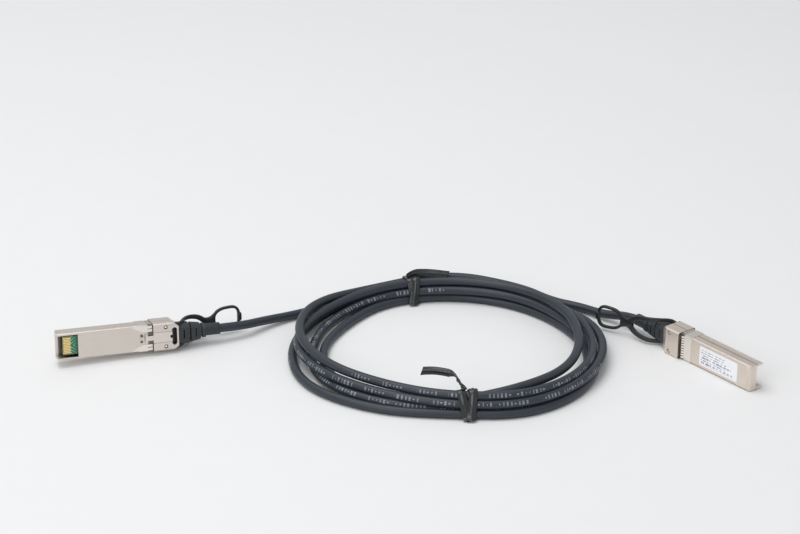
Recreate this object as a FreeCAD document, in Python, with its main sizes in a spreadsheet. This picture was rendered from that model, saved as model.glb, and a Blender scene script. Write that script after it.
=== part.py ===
import FreeCAD, Part
import math
import os
import types

import Sketcher

# Direct-attach network cable: two pluggable modules on the ends of one cable, which lies in a tied coil.
# Millimetres. A module is drawn in its own frame, with X from the plug end towards the cable, Y across and
# Z towards the top shell, and is then laid on its narrow side. In the shared frame +X runs from the left
# module to the right one, +Y away from the viewer and +Z up from the table.

DIMENSIONS = {
    # Module body, the part that goes into the cage
    "body_width": 13.4,
    "body_height": 8.5,
    "body_length": 47.5,
    "edge_bevel": 0.5,
    "side_wall": 1.1,
    "roof_wall": 1.2,
    "floor_wall": 1.05,
    "nose_radius": 2.2,
    "nose_wall": 1.2,
    "cavity_length": 46.0,
    "parting_groove": 0.25,
    "rail_groove": 0.2,
    "rail_start": 1.0,
    "rail_end": 35.0,
    "rail_rise": 1.2,
    "window_length": 10.2,
    # Front block, which stays outside the cage
    "block_width": 14.0,
    "block_rise": 1.65,
    "block_drop": 1.3,
    "block_end": 60.4,
    "block_bevel": 0.7,
    "slope_length": 4.0,
    "slope_drop": 2.5,
    "corner_length": 2.8,
    "corner_width": 2.0,
    # Lock post that the cage's latch catches
    "post_tip": 41.2,
    "post_base": 43.0,
    "post_width": 2.5,
    "post_height": 1.0,
    "pit_start": 41.3,
    "pit_length": 1.1,
    "pit_inner": 1.0,
    "pit_outer": 2.1,
    "pit_depth": 0.5,
    # Latch slider and the channel it runs in
    "slider_start": 47.6,
    "slider_end": 57.1,
    "slider_width": 5.2,
    "slider_depth": 1.05,
    "wing_start": 48.2,
    "wing_end": 56.5,
    "wing_width": 6.6,
    "wing_depth": 0.5,
    "slide_gap": 0.1,
    "slide_travel": 1.5,
    "tongue_start": 43.6,
    "tongue_width": 2.4,
    "tongue_depth": 0.65,
    "tongue_head": 4.4,
    "tongue_head_length": 1.0,
    "notch_width": 1.4,
    "notch_length": 1.0,
    # Opening for the pull tab at the cable end of the block
    "tab_slot_start": 57.0,
    "tab_slot_width": 8.8,
    "tab_slot_bevel": 0.8,
    "tab_room_start": 55.2,
    "tab_room_width": 8.4,
    # Spring-finger collar
    "collar_start": 40.0,
    "collar_end": 44.8,
    "collar_sheet": 0.2,
    "collar_gap": 6.4,
    "collar_wing_start": 36.5,
    "finger_crest": 46.2,
    "finger_tip": 47.3,
    "finger_width": 1.0,
    "top_finger_lift": 0.55,
    "side_finger_lift": 0.08,
    "top_finger_pitch": 1.35,
    "side_finger_pitch": 1.4,
    "wing_finger_slit": 0.3,
    # Edge card with its pads, parts and leads
    "card_start": 3.0,
    "card_shoulder": 11.0,
    "card_end": 24.0,
    "card_tip_width": 9.2,
    "card_depth": 2.0,
    "card_thickness": 1.0,
    "pad_start": 3.4,
    "pad_pitch": 0.8,
    "pad_width": 0.55,
    "pad_length": 3.4,
    "pad_long_extra": 0.5,
    "pad_thickness": 0.04,
    "chip_start": 14.5,
    "chip_size": 3.0,
    "chip_height": 0.9,
    "capacitor_length": 1.0,
    "capacitor_width": 0.6,
    "capacitor_height": 0.5,
    "capacitor_pitch": 1.8,
    "lead_start": 21.5,
    "lead_width": 1.4,
    "lead_height": 1.2,
    "lead_pitch": 1.5,
    "ferrule_start": 46.0,
    "ferrule_radius": 3.1,
    "ferrule_clearance": 0.1,
    # Rivets that hold the two shells together
    "rivet_place": 53.9,
    "rivet_spread": 9.8,
    "rivet_radius": 0.95,
    "rivet_clearance": 0.05,
    "rivet_sink": 0.4,
    # Strain relief boot
    "boot_neck_width": 8.0,
    "boot_neck_height": 6.0,
    "boot_front_width": 10.4,
    "boot_front_height": 8.2,
    "boot_front_drop": 0.7,
    "boot_front_end": 66.4,
    "boot_front_end_width": 9.6,
    "boot_front_end_height": 7.6,
    "boot_front_end_drop": 0.45,
    "boot_rib_start": 67.2,
    "boot_rib_width": 9.2,
    "boot_rib_height": 7.3,
    "boot_rib_drop": 0.4,
    "boot_rib_end": 72.4,
    "boot_rib_end_width": 7.6,
    "boot_rib_end_height": 6.6,
    "boot_rib_end_drop": 0.15,
    "boot_ring_start": 73.2,
    "boot_ring_size": 6.6,
    "boot_tail_start": 75.0,
    "boot_tail_radius": 3.0,
    "boot_core_width": 7.0,
    "boot_core_size": 5.2,
    "boot_end": 82.5,
    "boot_bevel": 1.5,
    "boot_slot_width": 0.7,
    "boot_slot_length": 4.4,
    "boot_slot_depth": 0.8,
    # Pull tab
    "tab_bar_thickness": 0.8,
    "tab_bar_width": 7.0,
    "tab_bar_bottom": 5.3,
    "tab_leg_bottom": 4.45,
    "tab_leg_thickness": 0.8,
    "tab_foot_width": 12.2,
    "tab_foot_end": 61.2,
    "tab_inner_width": 10.8,
    "tab_outer_width": 13.6,
    "tab_arm_thickness": 1.6,
    "tab_elbow_reach": 68.0,
    "tab_elbow_height": 5.8,
    "tab_bow": 66.0,
    "tab_shoulder": 69.0,
    "tab_crotch": 73.0,
    "tab_crotch_radius": 1.6,
    "tab_waist": 77.0,
    "tab_waist_width": 6.6,
    "tab_web_start": 79.0,
    "tab_web_height": 7.4,
    "tab_thickness": 1.7,
    "tab_ring_width": 13.2,
    "tab_ring_rim": 1.5,
    "tab_ring_straight": 10.6,
    "tab_ring_flare": 6.0,
    "tab_web_length": 3.0,
    "tab_hole_start": 4.2,
    "tab_hole_corner": 1.5,
    "tab_grip_width": 4.0,
    "tab_grip_length": 1.8,
    "tab_grip_thickness": 2.6,
    "tab_grip_bevel": 0.6,
    "tab_grip_stand_out": 0.45,
    "left_tab_sway": -2.0,
    "right_tab_sway": 0.0,
    "left_tab_tilt": 4.0,
    "right_tab_tilt": 20.0,
    # Sticker on the right module's top face
    "label_start": 8.6,
    "label_length": 25.6,
    "label_width": 10.0,
    "label_thickness": 0.1,
    "label_corner": 0.6,
    # Where the modules lie
    "left_place_x": -170.45,
    "left_place_y": -12.3,
    "left_place_z": 10.14,
    "left_heading": 19.8,
    "left_tip": 2.0,
    "left_lean": -9.0,
    "right_place_x": 168.1,
    "right_place_y": -32.6,
    "right_place_z": 7.0,
    "right_heading": 129.0,
    # Cable, coil and ties
    "cable_diameter": 4.4,
    "coil_centre_x": 20.9,
    "coil_centre_y": 3.5,
    "coil_outer_x": 77.3,
    "coil_outer_y": 71.8,
    "coil_inner_x": 60.8,
    "coil_inner_y": 60.7,
    "coil_bottom": 0.9,
    "coil_height": 12.9,
    "tie_sheet": 0.8,
    "tie_width": 6.6,
    "tie_bevel": 0.6,
    "rear_tie_angle": 106.0,
    "front_tie_angle": 277.0,
    "rear_tie_tail": 18.0,
    "tie_tail_width": 4.0,
    "tie_stem_reach": 12.0,
    "tie_stem_width": 2.4,
    "tie_stem_bottom": 13.7,
    "front_tie_tail": 19.0,
}

# Points of the cable between each boot's end and the coil, after a straight lead-out along the boot
LEFT_TAIL_POINTS = [(-70.8, 31.7, 4.2), (-58.8, 41.2, 2.4), (-45.8, 47.7, 2.3), (-32.8, 50.7, 3.0)]
RIGHT_TAIL_POINTS = [(99.2, 49.0, 4.3), (88.2, 56.7, 2.4), (74.7, 61.7, 2.3), (57.7, 63.2, 3.0)]
TAIL_LEAD_OUT = 12.0
TAIL_BEND_SHARE = 0.45
TAIL_SIDES = 12

PAD_COUNT = 10
CAPACITOR_COUNT = 5
LEAD_COUNT = 4
HEXAGON_RISE = math.sqrt(3) / 2
TOP_FINGER_COUNT = 9
SIDE_FINGER_COUNT = 5
FINGER_TIP_SHARE = 0.35

doc = FreeCAD.newDocument("direct_attach_cable")
sheet = doc.addObject("Spreadsheet::Sheet", "dims")
pieces = []


class Size:
    """A length that keeps both its value and the sheet expression that gives it."""

    def __init__(self, value, text):
        self.value = float(value)
        self.text = text

    @staticmethod
    def of(thing):
        return thing if isinstance(thing, Size) else Size(thing, repr(float(thing)))

    def __add__(self, other):
        other = Size.of(other)
        return Size(self.value + other.value, f"({self.text} + {other.text})")

    def __sub__(self, other):
        other = Size.of(other)
        return Size(self.value - other.value, f"({self.text} - {other.text})")

    def __mul__(self, other):
        other = Size.of(other)
        return Size(self.value * other.value, f"({self.text} * {other.text})")

    def __truediv__(self, other):
        other = Size.of(other)
        return Size(self.value / other.value, f"({self.text} / {other.text})")

    def __neg__(self):
        return Size(-self.value, f"(0 - {self.text})")


def fill_sheet():
    """Writes each driving dimension to a cell and gives it back as a named Size."""
    named = {}
    for row, (alias, value) in enumerate(DIMENSIONS.items(), start=1):
        sheet.set(f"A{row}", alias)
        sheet.set(f"B{row}", str(value))
        sheet.setAlias(f"B{row}", alias)
        named[alias] = Size(value, f"dims.{alias}")
    doc.recompute()
    return types.SimpleNamespace(**named)


s = fill_sheet()

# Heights and half widths that several pieces share
HALF_BODY = s.body_width / 2
HALF_BLOCK = s.block_width / 2
BODY_TOP = s.body_height / 2
BODY_BOTTOM = -BODY_TOP
BLOCK_TOP = BODY_TOP + s.block_rise
BLOCK_BOTTOM = BODY_BOTTOM - s.block_drop
BLOCK_LENGTH = s.block_end - s.body_length
CAVITY_HALF = HALF_BODY - s.side_wall
CARD_BOTTOM = BODY_BOTTOM + s.card_depth
CARD_TOP = CARD_BOTTOM + s.card_thickness
SLIDER_TOP = BLOCK_BOTTOM + s.slider_depth
LIP_TOP = SLIDER_TOP - s.slide_gap
TAB_BAR_END = s.slider_end + s.tab_bar_thickness
TAB_SLOT_END = TAB_BAR_END + s.slide_travel + s.slide_gap
TAB_LEG_TOP = s.tab_leg_thickness - s.tab_leg_bottom
TIE_TOP = s.coil_bottom + s.coil_height + s.tie_sheet


def lying(x, y, z, heading, tip, lean):
    """Placement of a module on its narrow side, turned to its heading, tipped along and leaning across."""
    turn = FreeCAD.Rotation(FreeCAD.Vector(0, 0, 1), heading.value)
    slope = FreeCAD.Rotation(FreeCAD.Vector(0, 1, 0), tip.value)
    side = FreeCAD.Rotation(FreeCAD.Vector(1, 0, 0), lean.value - 90)
    return FreeCAD.Placement(FreeCAD.Vector(x.value, y.value, z.value), turn * slope * side)


def new_body(name, placement):
    body = doc.addObject("PartDesign::Body", name)
    body.Label = name
    body.Placement = placement
    pieces.append(body)
    return body


def new_sketch(body, name, role, offset=None):
    """Sketch on one of the body's own origin planes, moved along that plane's normal."""
    sketch = body.newObject("Sketcher::SketchObject", f"{body.Name}_{name}")
    plane = next(feature for feature in body.Origin.OriginFeatures if feature.Role == role)
    sketch.AttachmentSupport = [(plane, "")]
    sketch.MapMode = "FlatFace"
    if offset is not None:
        sketch.setExpression("AttachmentOffset.Base.z", offset.text)
    return sketch


def bind_point(sketch, edge, end, x, y):
    """Fixes one end of an edge at x, y from the sketch's origin, each bound to the sheet."""
    for kind, axis, size in (("DistanceX", -2, Size.of(x)), ("DistanceY", -1, Size.of(y))):
        if size.value == 0:
            sketch.addConstraint(Sketcher.Constraint("PointOnObject", edge, end, axis))
        elif size.value < 0:
            index = sketch.addConstraint(Sketcher.Constraint(kind, edge, end, -1, 1, -size.value))
            sketch.setExpression(f"Constraints[{index}]", f"0 - {size.text}")
        else:
            index = sketch.addConstraint(Sketcher.Constraint(kind, -1, 1, edge, end, size.value))
            sketch.setExpression(f"Constraints[{index}]", size.text)


def draw_outline(sketch, corners):
    """Closed outline of straight edges through the corners."""
    first = sketch.GeometryCount
    count = len(corners)
    spots = [FreeCAD.Vector(Size.of(x).value, Size.of(y).value, 0) for x, y in corners]
    for i in range(count):
        sketch.addGeometry(Part.LineSegment(spots[i], spots[(i + 1) % count]), False)
    for i in range(count):
        sketch.addConstraint(Sketcher.Constraint("Coincident", first + i, 2, first + (i + 1) % count, 1))
    for i, (x, y) in enumerate(corners):
        bind_point(sketch, first + i, 1, x, y)


def draw_box(sketch, x0, x1, y0, y1):
    draw_outline(sketch, [(x0, y0), (x1, y0), (x1, y1), (x0, y1)])


def draw_bevelled_box(sketch, x0, x1, y0, y1, bevel):
    corners = [(x0 + bevel, y0), (x1 - bevel, y0), (x1, y0 + bevel), (x1, y1 - bevel)]
    corners += [(x1 - bevel, y1), (x0 + bevel, y1), (x0, y1 - bevel), (x0, y0 + bevel)]
    draw_outline(sketch, corners)


def draw_circle(sketch, x, y, radius):
    spot = FreeCAD.Vector(Size.of(x).value, Size.of(y).value, 0)
    edge = sketch.addGeometry(Part.Circle(spot, FreeCAD.Vector(0, 0, 1), radius.value), False)
    bind_point(sketch, edge, 3, x, y)
    index = sketch.addConstraint(Sketcher.Constraint("Radius", edge, radius.value))
    sketch.setExpression(f"Constraints[{index}]", radius.text)


def draw_hexagon(sketch, radius):
    """Hexagon about the sketch's origin with two corners on its x axis."""
    side = radius / 2
    rise = radius * HEXAGON_RISE
    draw_outline(sketch, [(radius, 0), (side, rise), (-side, rise),
                          (-radius, 0), (-side, -rise), (side, -rise)])


def draw_ellipse(sketch, long_half, short_half):
    """Ellipse about the sketch's origin, its long half along x."""
    centre = FreeCAD.Vector(0, 0, 0)
    along = FreeCAD.Vector(long_half.value, 0, 0)
    across = FreeCAD.Vector(0, short_half.value, 0)
    edge = sketch.addGeometry(Part.Ellipse(along, across, centre), False)
    sketch.exposeInternalGeometry(edge)
    sketch.addConstraint(Sketcher.Constraint("Coincident", edge, 3, -1, 1))
    long_axis, short_axis = edge + 1, edge + 2
    sketch.addConstraint(Sketcher.Constraint("Horizontal", long_axis))
    for axis, half in ((long_axis, long_half), (short_axis, short_half)):
        index = sketch.addConstraint(Sketcher.Constraint("Distance", axis, 2 * half.value))
        sketch.setExpression(f"Constraints[{index}]", f"2 * {half.text}")


def add_feature(body, kind, sketch, length, reverse=False, middle=False):
    """Pad or pocket of a sketch; a pocket that takes nothing away is an error."""
    doc.recompute()
    before = body.Shape.Volume if body.Tip else 0.0
    feature = body.newObject(f"PartDesign::{kind}", f"{sketch.Name}_{kind}")
    feature.Profile = sketch
    feature.setExpression("Length", Size.of(length).text)
    feature.Reversed = reverse
    feature.Midplane = middle
    body.Tip = feature
    doc.recompute()
    grew = body.Shape.Volume - before
    if (kind == "Pocket") != (grew < 0):
        raise RuntimeError(f"{feature.Name} changed the volume by {grew:.3f}")
    return feature


def pad(body, sketch, length, reverse=False, middle=False):
    return add_feature(body, "Pad", sketch, length, reverse, middle)


def pocket(body, sketch, length, reverse=False, middle=False):
    return add_feature(body, "Pocket", sketch, length, reverse, middle)


def repeat(body, features, axis_role, pitch, count):
    """Linear pattern of the features along one of the body's own axes."""
    pattern = body.newObject("PartDesign::LinearPattern", f"{features[0].Name}_Row")
    pattern.Originals = features
    axis = next(feature for feature in body.Origin.OriginFeatures if feature.Role == axis_role)
    pattern.Direction = (axis, [""])
    pattern.setExpression("Length", (pitch * (count - 1)).text)
    pattern.Occurrences = count
    body.Tip = pattern
    doc.recompute()
    return pattern


def new_box(name, x, y, z, length, width, height):
    box = doc.addObject("Part::Box", name)
    box.setExpression("Length", Size.of(length).text)
    box.setExpression("Width", Size.of(width).text)
    box.setExpression("Height", Size.of(height).text)
    for axis, size in (("x", x), ("y", y), ("z", z)):
        box.setExpression(f"Placement.Base.{axis}", Size.of(size).text)
    return box


def new_rod(name, x, y, z, radius, length):
    """Upright round pin that stands on x, y, z."""
    rod = doc.addObject("Part::Cylinder", name)
    rod.setExpression("Radius", Size.of(radius).text)
    rod.setExpression("Height", Size.of(length).text)
    for axis, size in (("x", x), ("y", y), ("z", z)):
        rod.setExpression(f"Placement.Base.{axis}", Size.of(size).text)
    return rod


def new_group(name, members, placement):
    group = doc.addObject("Part::Compound", name)
    group.Label = name
    group.Links = members
    group.Placement = placement
    pieces.append(group)
    return group


def make_top_shell(side, placement):
    """Upper half of the die-cast housing, hollow over the card and rounded at the plug end."""
    body = new_body(f"{side}_top_shell", placement)
    section = new_sketch(body, "section", "YZ_Plane")
    draw_shell_section(section, HALF_BODY, BODY_TOP, s.edge_bevel, 1)
    pad(body, section, s.body_length)

    block = new_sketch(body, "block", "YZ_Plane", s.body_length)
    draw_shell_section(block, HALF_BLOCK, BLOCK_TOP, s.block_bevel, 1)
    pad(body, block, BLOCK_LENGTH)

    nose = new_sketch(body, "nose", "XZ_Plane")
    draw_nose_corner(nose)
    pocket(body, nose, s.block_width, middle=True)

    slope = new_sketch(body, "slope", "XZ_Plane")
    draw_outline(slope, [(s.block_end - s.slope_length, BLOCK_TOP), (s.block_end, BLOCK_TOP - s.slope_drop),
                         (s.block_end, BLOCK_TOP)])
    pocket(body, slope, s.block_width, middle=True)

    cavity = new_sketch(body, "cavity", "YZ_Plane", s.nose_wall)
    draw_box(cavity, -CAVITY_HALF, CAVITY_HALF, 0, BODY_TOP - s.roof_wall)
    pocket(body, cavity, s.cavity_length - s.nose_wall, reverse=True)

    bore = new_sketch(body, "bore", "YZ_Plane", s.cavity_length)
    draw_hexagon(bore, s.ferrule_radius + s.ferrule_clearance)
    pocket(body, bore, s.tab_room_start - s.cavity_length, reverse=True)

    neck = new_sketch(body, "neck", "YZ_Plane", s.tab_room_start)
    draw_box(neck, -s.boot_neck_width / 2, s.boot_neck_width / 2, 0, s.boot_neck_height / 2)
    pocket(body, neck, s.block_end - s.tab_room_start, reverse=True)

    cut_rivet_holes(body, True)
    cut_corners(body, True)


def draw_shell_section(sketch, half, height, bevel, sign):
    """Half of the housing's section, from the parting plane to a face with two bevelled edges."""
    face = height * sign
    shoulder = (height - bevel) * sign
    draw_outline(sketch, [(-half, 0), (half, 0), (half, shoulder), (half - bevel, face),
                          (bevel - half, face), (-half, shoulder)])


def draw_nose_corner(sketch):
    """Region outside a quarter round at the plug end of the top face."""
    radius = s.nose_radius
    high = BODY_TOP
    low = high - radius
    centre = FreeCAD.Vector(radius.value, low.value, 0)
    circle = Part.Circle(centre, FreeCAD.Vector(0, 0, 1), radius.value)
    arc = sketch.addGeometry(Part.ArcOfCircle(circle, math.pi / 2, math.pi), False)
    top = FreeCAD.Vector(radius.value, high.value, 0)
    corner = FreeCAD.Vector(0, high.value, 0)
    bottom = FreeCAD.Vector(0, low.value, 0)
    across = sketch.addGeometry(Part.LineSegment(top, corner), False)
    down = sketch.addGeometry(Part.LineSegment(corner, bottom), False)
    sketch.addConstraint(Sketcher.Constraint("Coincident", arc, 1, across, 1))
    sketch.addConstraint(Sketcher.Constraint("Coincident", across, 2, down, 1))
    sketch.addConstraint(Sketcher.Constraint("Coincident", down, 2, arc, 2))
    bind_point(sketch, arc, 3, radius, low)
    bind_point(sketch, across, 1, radius, high)
    bind_point(sketch, across, 2, 0, high)


def cut_rivet_holes(body, upper):
    """Two rivet holes through one shell's block, from the parting plane out."""
    half = s.rivet_spread / 2
    holes = new_sketch(body, "rivet_holes", "XY_Plane")
    for across in (half, -half):
        draw_circle(holes, s.rivet_place, across, s.rivet_radius + s.rivet_clearance)
    pocket(body, holes, s.body_height, reverse=upper)


def cut_corners(body, upper):
    """Slants off one shell's two corners at the cable end of the block."""
    start, end = s.block_end - s.corner_length, s.block_end
    inner = HALF_BLOCK - s.corner_width
    corners = new_sketch(body, "corners", "XY_Plane")
    for sign in (1, -1):
        draw_outline(corners, [(start, HALF_BLOCK * sign), (end, inner * sign), (end, HALF_BLOCK * sign)])
    pocket(body, corners, s.body_height, reverse=upper)


def make_bottom_shell(side, placement):
    """Lower half of the housing, with the contact window, the lock post and the slider's channel."""
    body = new_body(f"{side}_bottom_shell", placement)
    section = new_sketch(body, "section", "YZ_Plane")
    draw_shell_section(section, HALF_BODY, -BODY_BOTTOM, s.edge_bevel, -1)
    pad(body, section, s.body_length)

    block = new_sketch(body, "block", "YZ_Plane", s.body_length)
    draw_shell_section(block, HALF_BLOCK, -BLOCK_BOTTOM, s.block_bevel, -1)
    pad(body, block, BLOCK_LENGTH)

    cavity = new_sketch(body, "cavity", "YZ_Plane")
    draw_box(cavity, -CAVITY_HALF, CAVITY_HALF, BODY_BOTTOM + s.floor_wall, 0)
    pocket(body, cavity, s.cavity_length, reverse=True)

    window = new_sketch(body, "window", "XY_Plane")
    draw_box(window, 0, s.window_length, -CAVITY_HALF, CAVITY_HALF)
    pocket(body, window, s.body_height)

    for name, half, start, length in (("body_groove", HALF_BODY, Size.of(0), s.body_length),
                                      ("block_groove", HALF_BLOCK, s.body_length, BLOCK_LENGTH)):
        groove = new_sketch(body, name, "YZ_Plane", start)
        draw_box(groove, half - s.parting_groove, half, -s.parting_groove, 0)
        draw_box(groove, -half, s.parting_groove - half, -s.parting_groove, 0)
        pocket(body, groove, length, reverse=True)

    rail = new_sketch(body, "rail", "YZ_Plane", s.rail_start)
    low, high = BODY_BOTTOM + s.rail_rise, BODY_BOTTOM + s.rail_rise + s.rail_groove
    draw_box(rail, HALF_BODY - s.rail_groove, HALF_BODY, low, high)
    draw_box(rail, -HALF_BODY, s.rail_groove - HALF_BODY, low, high)
    pocket(body, rail, s.rail_end - s.rail_start, reverse=True)

    bore = new_sketch(body, "bore", "YZ_Plane", s.cavity_length)
    draw_hexagon(bore, s.ferrule_radius + s.ferrule_clearance)
    pocket(body, bore, s.tab_room_start - s.cavity_length, reverse=True)

    lips = new_sketch(body, "channel_mouth", "YZ_Plane", s.body_length)
    half = s.slider_width / 2 + s.slide_gap
    draw_box(lips, -half, half, BLOCK_BOTTOM, SLIDER_TOP + s.slide_gap)
    pocket(body, lips, s.tab_slot_start - s.body_length, reverse=True)

    channel = new_sketch(body, "channel", "YZ_Plane", s.wing_start - s.slide_gap)
    half = s.wing_width / 2 + s.slide_gap
    draw_box(channel, -half, half, LIP_TOP, SLIDER_TOP + s.wing_depth + s.slide_gap)
    pocket(body, channel, s.tab_slot_start - s.wing_start + s.slide_gap, reverse=True)

    room = new_sketch(body, "tab_room", "YZ_Plane", s.tab_room_start)
    draw_box(room, -s.tab_room_width / 2, s.tab_room_width / 2, LIP_TOP, 0)
    pocket(body, room, s.block_end - s.tab_room_start, reverse=True)

    way_out = new_sketch(body, "tab_way_out", "YZ_Plane", s.tab_slot_start)
    draw_box(way_out, -HALF_BLOCK, HALF_BLOCK, LIP_TOP, TAB_LEG_TOP + s.slide_gap)
    pocket(body, way_out, s.block_end - s.tab_slot_start, reverse=True)

    slot = new_sketch(body, "tab_slot", "XY_Plane")
    half = s.tab_slot_width / 2
    draw_bevelled_box(slot, s.tab_slot_start, TAB_SLOT_END, -half, half, s.tab_slot_bevel)
    pocket(body, slot, s.body_height)

    post = new_sketch(body, "lock_post", "XY_Plane", BODY_BOTTOM)
    draw_outline(post, [(s.post_tip, 0), (s.post_base, -s.post_width / 2), (s.post_base, s.post_width / 2)])
    pad(body, post, s.post_height, reverse=True)

    pits = new_sketch(body, "post_pits", "XY_Plane", BODY_BOTTOM)
    for sign in (1, -1):
        draw_box(pits, s.pit_start, s.pit_start + s.pit_length, s.pit_inner * sign, s.pit_outer * sign)
    pocket(body, pits, s.pit_depth, reverse=True)

    cut_rivet_holes(body, False)
    cut_corners(body, False)


def make_emi_collar(side, placement):
    """Sheet-metal grounding collar with a row of spring fingers on each face."""
    body = new_body(f"{side}_emi_collar", placement)
    sheet_metal = s.collar_sheet
    band = new_sketch(body, "band", "YZ_Plane", s.collar_start)
    draw_bevelled_box(band, -HALF_BODY - sheet_metal, HALF_BODY + sheet_metal,
                      BODY_BOTTOM - sheet_metal, BODY_TOP + sheet_metal, s.edge_bevel)
    draw_bevelled_box(band, -HALF_BODY, HALF_BODY, BODY_BOTTOM, BODY_TOP, s.edge_bevel)
    pad(body, band, s.collar_end - s.collar_start)

    wings = new_sketch(body, "wings", "XY_Plane", BODY_BOTTOM)
    outer, inner = HALF_BODY - s.edge_bevel, s.collar_gap / 2
    slant_end = s.collar_start + (s.collar_end - s.collar_start) / 2
    for sign in (1, -1):
        draw_outline(wings, [(s.collar_wing_start, outer * sign), (slant_end, inner * sign),
                             (s.finger_tip, inner * sign), (s.finger_tip, outer * sign)])
    pad(body, wings, sheet_metal, reverse=True)

    gap = new_sketch(body, "post_gap", "XY_Plane")
    draw_outline(gap, [(s.collar_wing_start, outer), (s.collar_wing_start, -outer), (slant_end, -inner),
                       (s.finger_tip, -inner), (s.finger_tip, inner), (slant_end, inner)])
    pocket(body, gap, s.body_height)

    slits = new_sketch(body, "wing_slits", "XY_Plane")
    middle = (outer + inner) / 2
    for sign in (1, -1):
        near, far = middle * sign - s.wing_finger_slit / 2, middle * sign + s.wing_finger_slit / 2
        draw_box(slits, s.collar_end, s.finger_tip, near, far)
    pocket(body, slits, s.body_height)

    top = new_sketch(body, "top_finger", "XZ_Plane", s.top_finger_pitch * (TOP_FINGER_COUNT - 1) / 2)
    draw_finger(top, BODY_TOP, s.top_finger_lift, 1)
    first_top = pad(body, top, s.finger_width, middle=True)
    repeat(body, [first_top], "Y_Axis", s.top_finger_pitch, TOP_FINGER_COUNT)

    for name, sign in (("near", 1), ("far", -1)):
        lowest = -s.side_finger_pitch * (SIDE_FINGER_COUNT - 1) / 2
        finger = new_sketch(body, f"{name}_finger", "XY_Plane", lowest)
        draw_finger(finger, HALF_BODY, s.side_finger_lift, sign)
        first_side = pad(body, finger, s.finger_width, middle=True)
        repeat(body, [first_side], "Z_Axis", s.side_finger_pitch, SIDE_FINGER_COUNT)


def draw_finger(sketch, surface, lift, sign):
    """Side view of one bowed finger, from the collar's edge over its crest to its tip."""
    crest = surface + lift
    tip = surface + lift * FINGER_TIP_SHARE
    lower = [(s.collar_end, surface), (s.finger_crest, crest), (s.finger_tip, tip)]
    upper = [(x, y + s.collar_sheet) for x, y in reversed(lower)]
    draw_outline(sketch, [(x, y * sign) for x, y in lower + upper])


def make_latch_slider(side, placement):
    """Sliding latch plate: a winged bar in the block's channel with a tongue that reaches the lock post."""
    body = new_body(f"{side}_latch_slider", placement)
    bar = new_sketch(body, "bar", "XY_Plane", BLOCK_BOTTOM)
    half = s.slider_width / 2
    notch = s.notch_width / 2
    floor = s.slider_end - s.notch_length
    end = s.slider_end
    draw_outline(bar, [(s.slider_start, -half), (end, -half), (end, -notch), (floor, -notch),
                       (floor, notch), (end, notch), (end, half), (s.slider_start, half)])
    pad(body, bar, s.slider_depth)

    wings = new_sketch(body, "wings", "XY_Plane", SLIDER_TOP)
    draw_box(wings, s.wing_start, s.wing_end, -s.wing_width / 2, s.wing_width / 2)
    pad(body, wings, s.wing_depth)

    tongue = new_sketch(body, "tongue", "XY_Plane", SLIDER_TOP - s.slide_gap)
    half, head = s.tongue_width / 2, s.tongue_head / 2
    neck = s.tongue_start + s.tongue_head_length
    draw_outline(tongue, [(s.tongue_start, -head), (neck, -head), (neck, -half), (s.slider_start, -half),
                          (s.slider_start, half), (neck, half), (neck, head), (s.tongue_start, head)])
    pad(body, tongue, s.tongue_depth, reverse=True)


def make_pull_tab(side, placement, sway, tilt):
    """Moulded pull tab: a bar hooked behind the slider, two arms that meet over the boot, and a ring."""
    body = new_body(f"{side}_pull_tab", placement)
    bar = new_sketch(body, "bar", "XY_Plane", -s.tab_bar_bottom)
    draw_box(bar, s.slider_end, TAB_BAR_END, -s.tab_bar_width / 2, s.tab_bar_width / 2)
    pad(body, bar, TAB_LEG_TOP + s.tab_bar_bottom)

    arm_side = new_sketch(body, "arm_side", "XZ_Plane")
    draw_arm_side(arm_side)
    pad(body, arm_side, s.tab_outer_width, middle=True)

    fork = new_sketch(body, "fork", "XY_Plane", -s.tab_leg_bottom)
    half = s.tab_inner_width / 2
    radius = s.tab_crotch_radius
    draw_round_end(fork, [(s.tab_crotch, -radius), (s.tab_shoulder, -half), (TAB_BAR_END, -half),
                          (TAB_BAR_END, half), (s.tab_shoulder, half), (s.tab_crotch, radius)],
                   s.tab_crotch, radius)
    pocket(body, fork, s.tab_web_start, reverse=True)

    sides = new_sketch(body, "sides", "XY_Plane", -s.tab_leg_bottom)
    outer = s.tab_outer_width / 2
    foot = s.tab_foot_width / 2
    half = s.tab_waist_width / 2
    end = s.tab_web_start + s.tab_arm_thickness
    foot_plan = [(s.slider_end, foot), (s.block_end, foot), (s.tab_bow, outer), (s.slider_end, outer)]
    waist_plan = [(s.tab_shoulder, outer), (s.tab_waist, half), (end, half), (end, outer)]
    for sign in (1, -1):
        for plan in (foot_plan, waist_plan):
            draw_outline(sides, [(x, y * sign) for x, y in plan])
    pocket(body, sides, s.tab_web_start, reverse=True)

    ring = new_ring_sketch(body, "ring", sway, tilt)
    draw_ring(ring, sway)
    pad(body, ring, s.tab_thickness, middle=True)

    grip = new_ring_sketch(body, "grip", sway, tilt)
    end = s.tab_ring_straight + s.tab_ring_width / 2 + s.tab_grip_stand_out
    half = s.tab_grip_width / 2
    draw_bevelled_box(grip, end - s.tab_grip_length, end, -half, half, s.tab_grip_bevel)
    pad(body, grip, s.tab_grip_thickness, middle=True)


def new_ring_sketch(body, name, sway, tilt):
    """Sketch in the ring's plane, which starts at the web and tilts away from the cable."""
    sketch = new_sketch(body, name, "XY_Plane")
    turn = FreeCAD.Rotation(FreeCAD.Vector(0, 1, 0), -tilt.value)
    sketch.AttachmentOffset = FreeCAD.Placement(FreeCAD.Vector(), turn)
    for axis, size in (("x", s.tab_web_start), ("y", sway), ("z", s.tab_web_height)):
        sketch.setExpression(f"AttachmentOffset.Base.{axis}", size.text)
    return sketch


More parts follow.
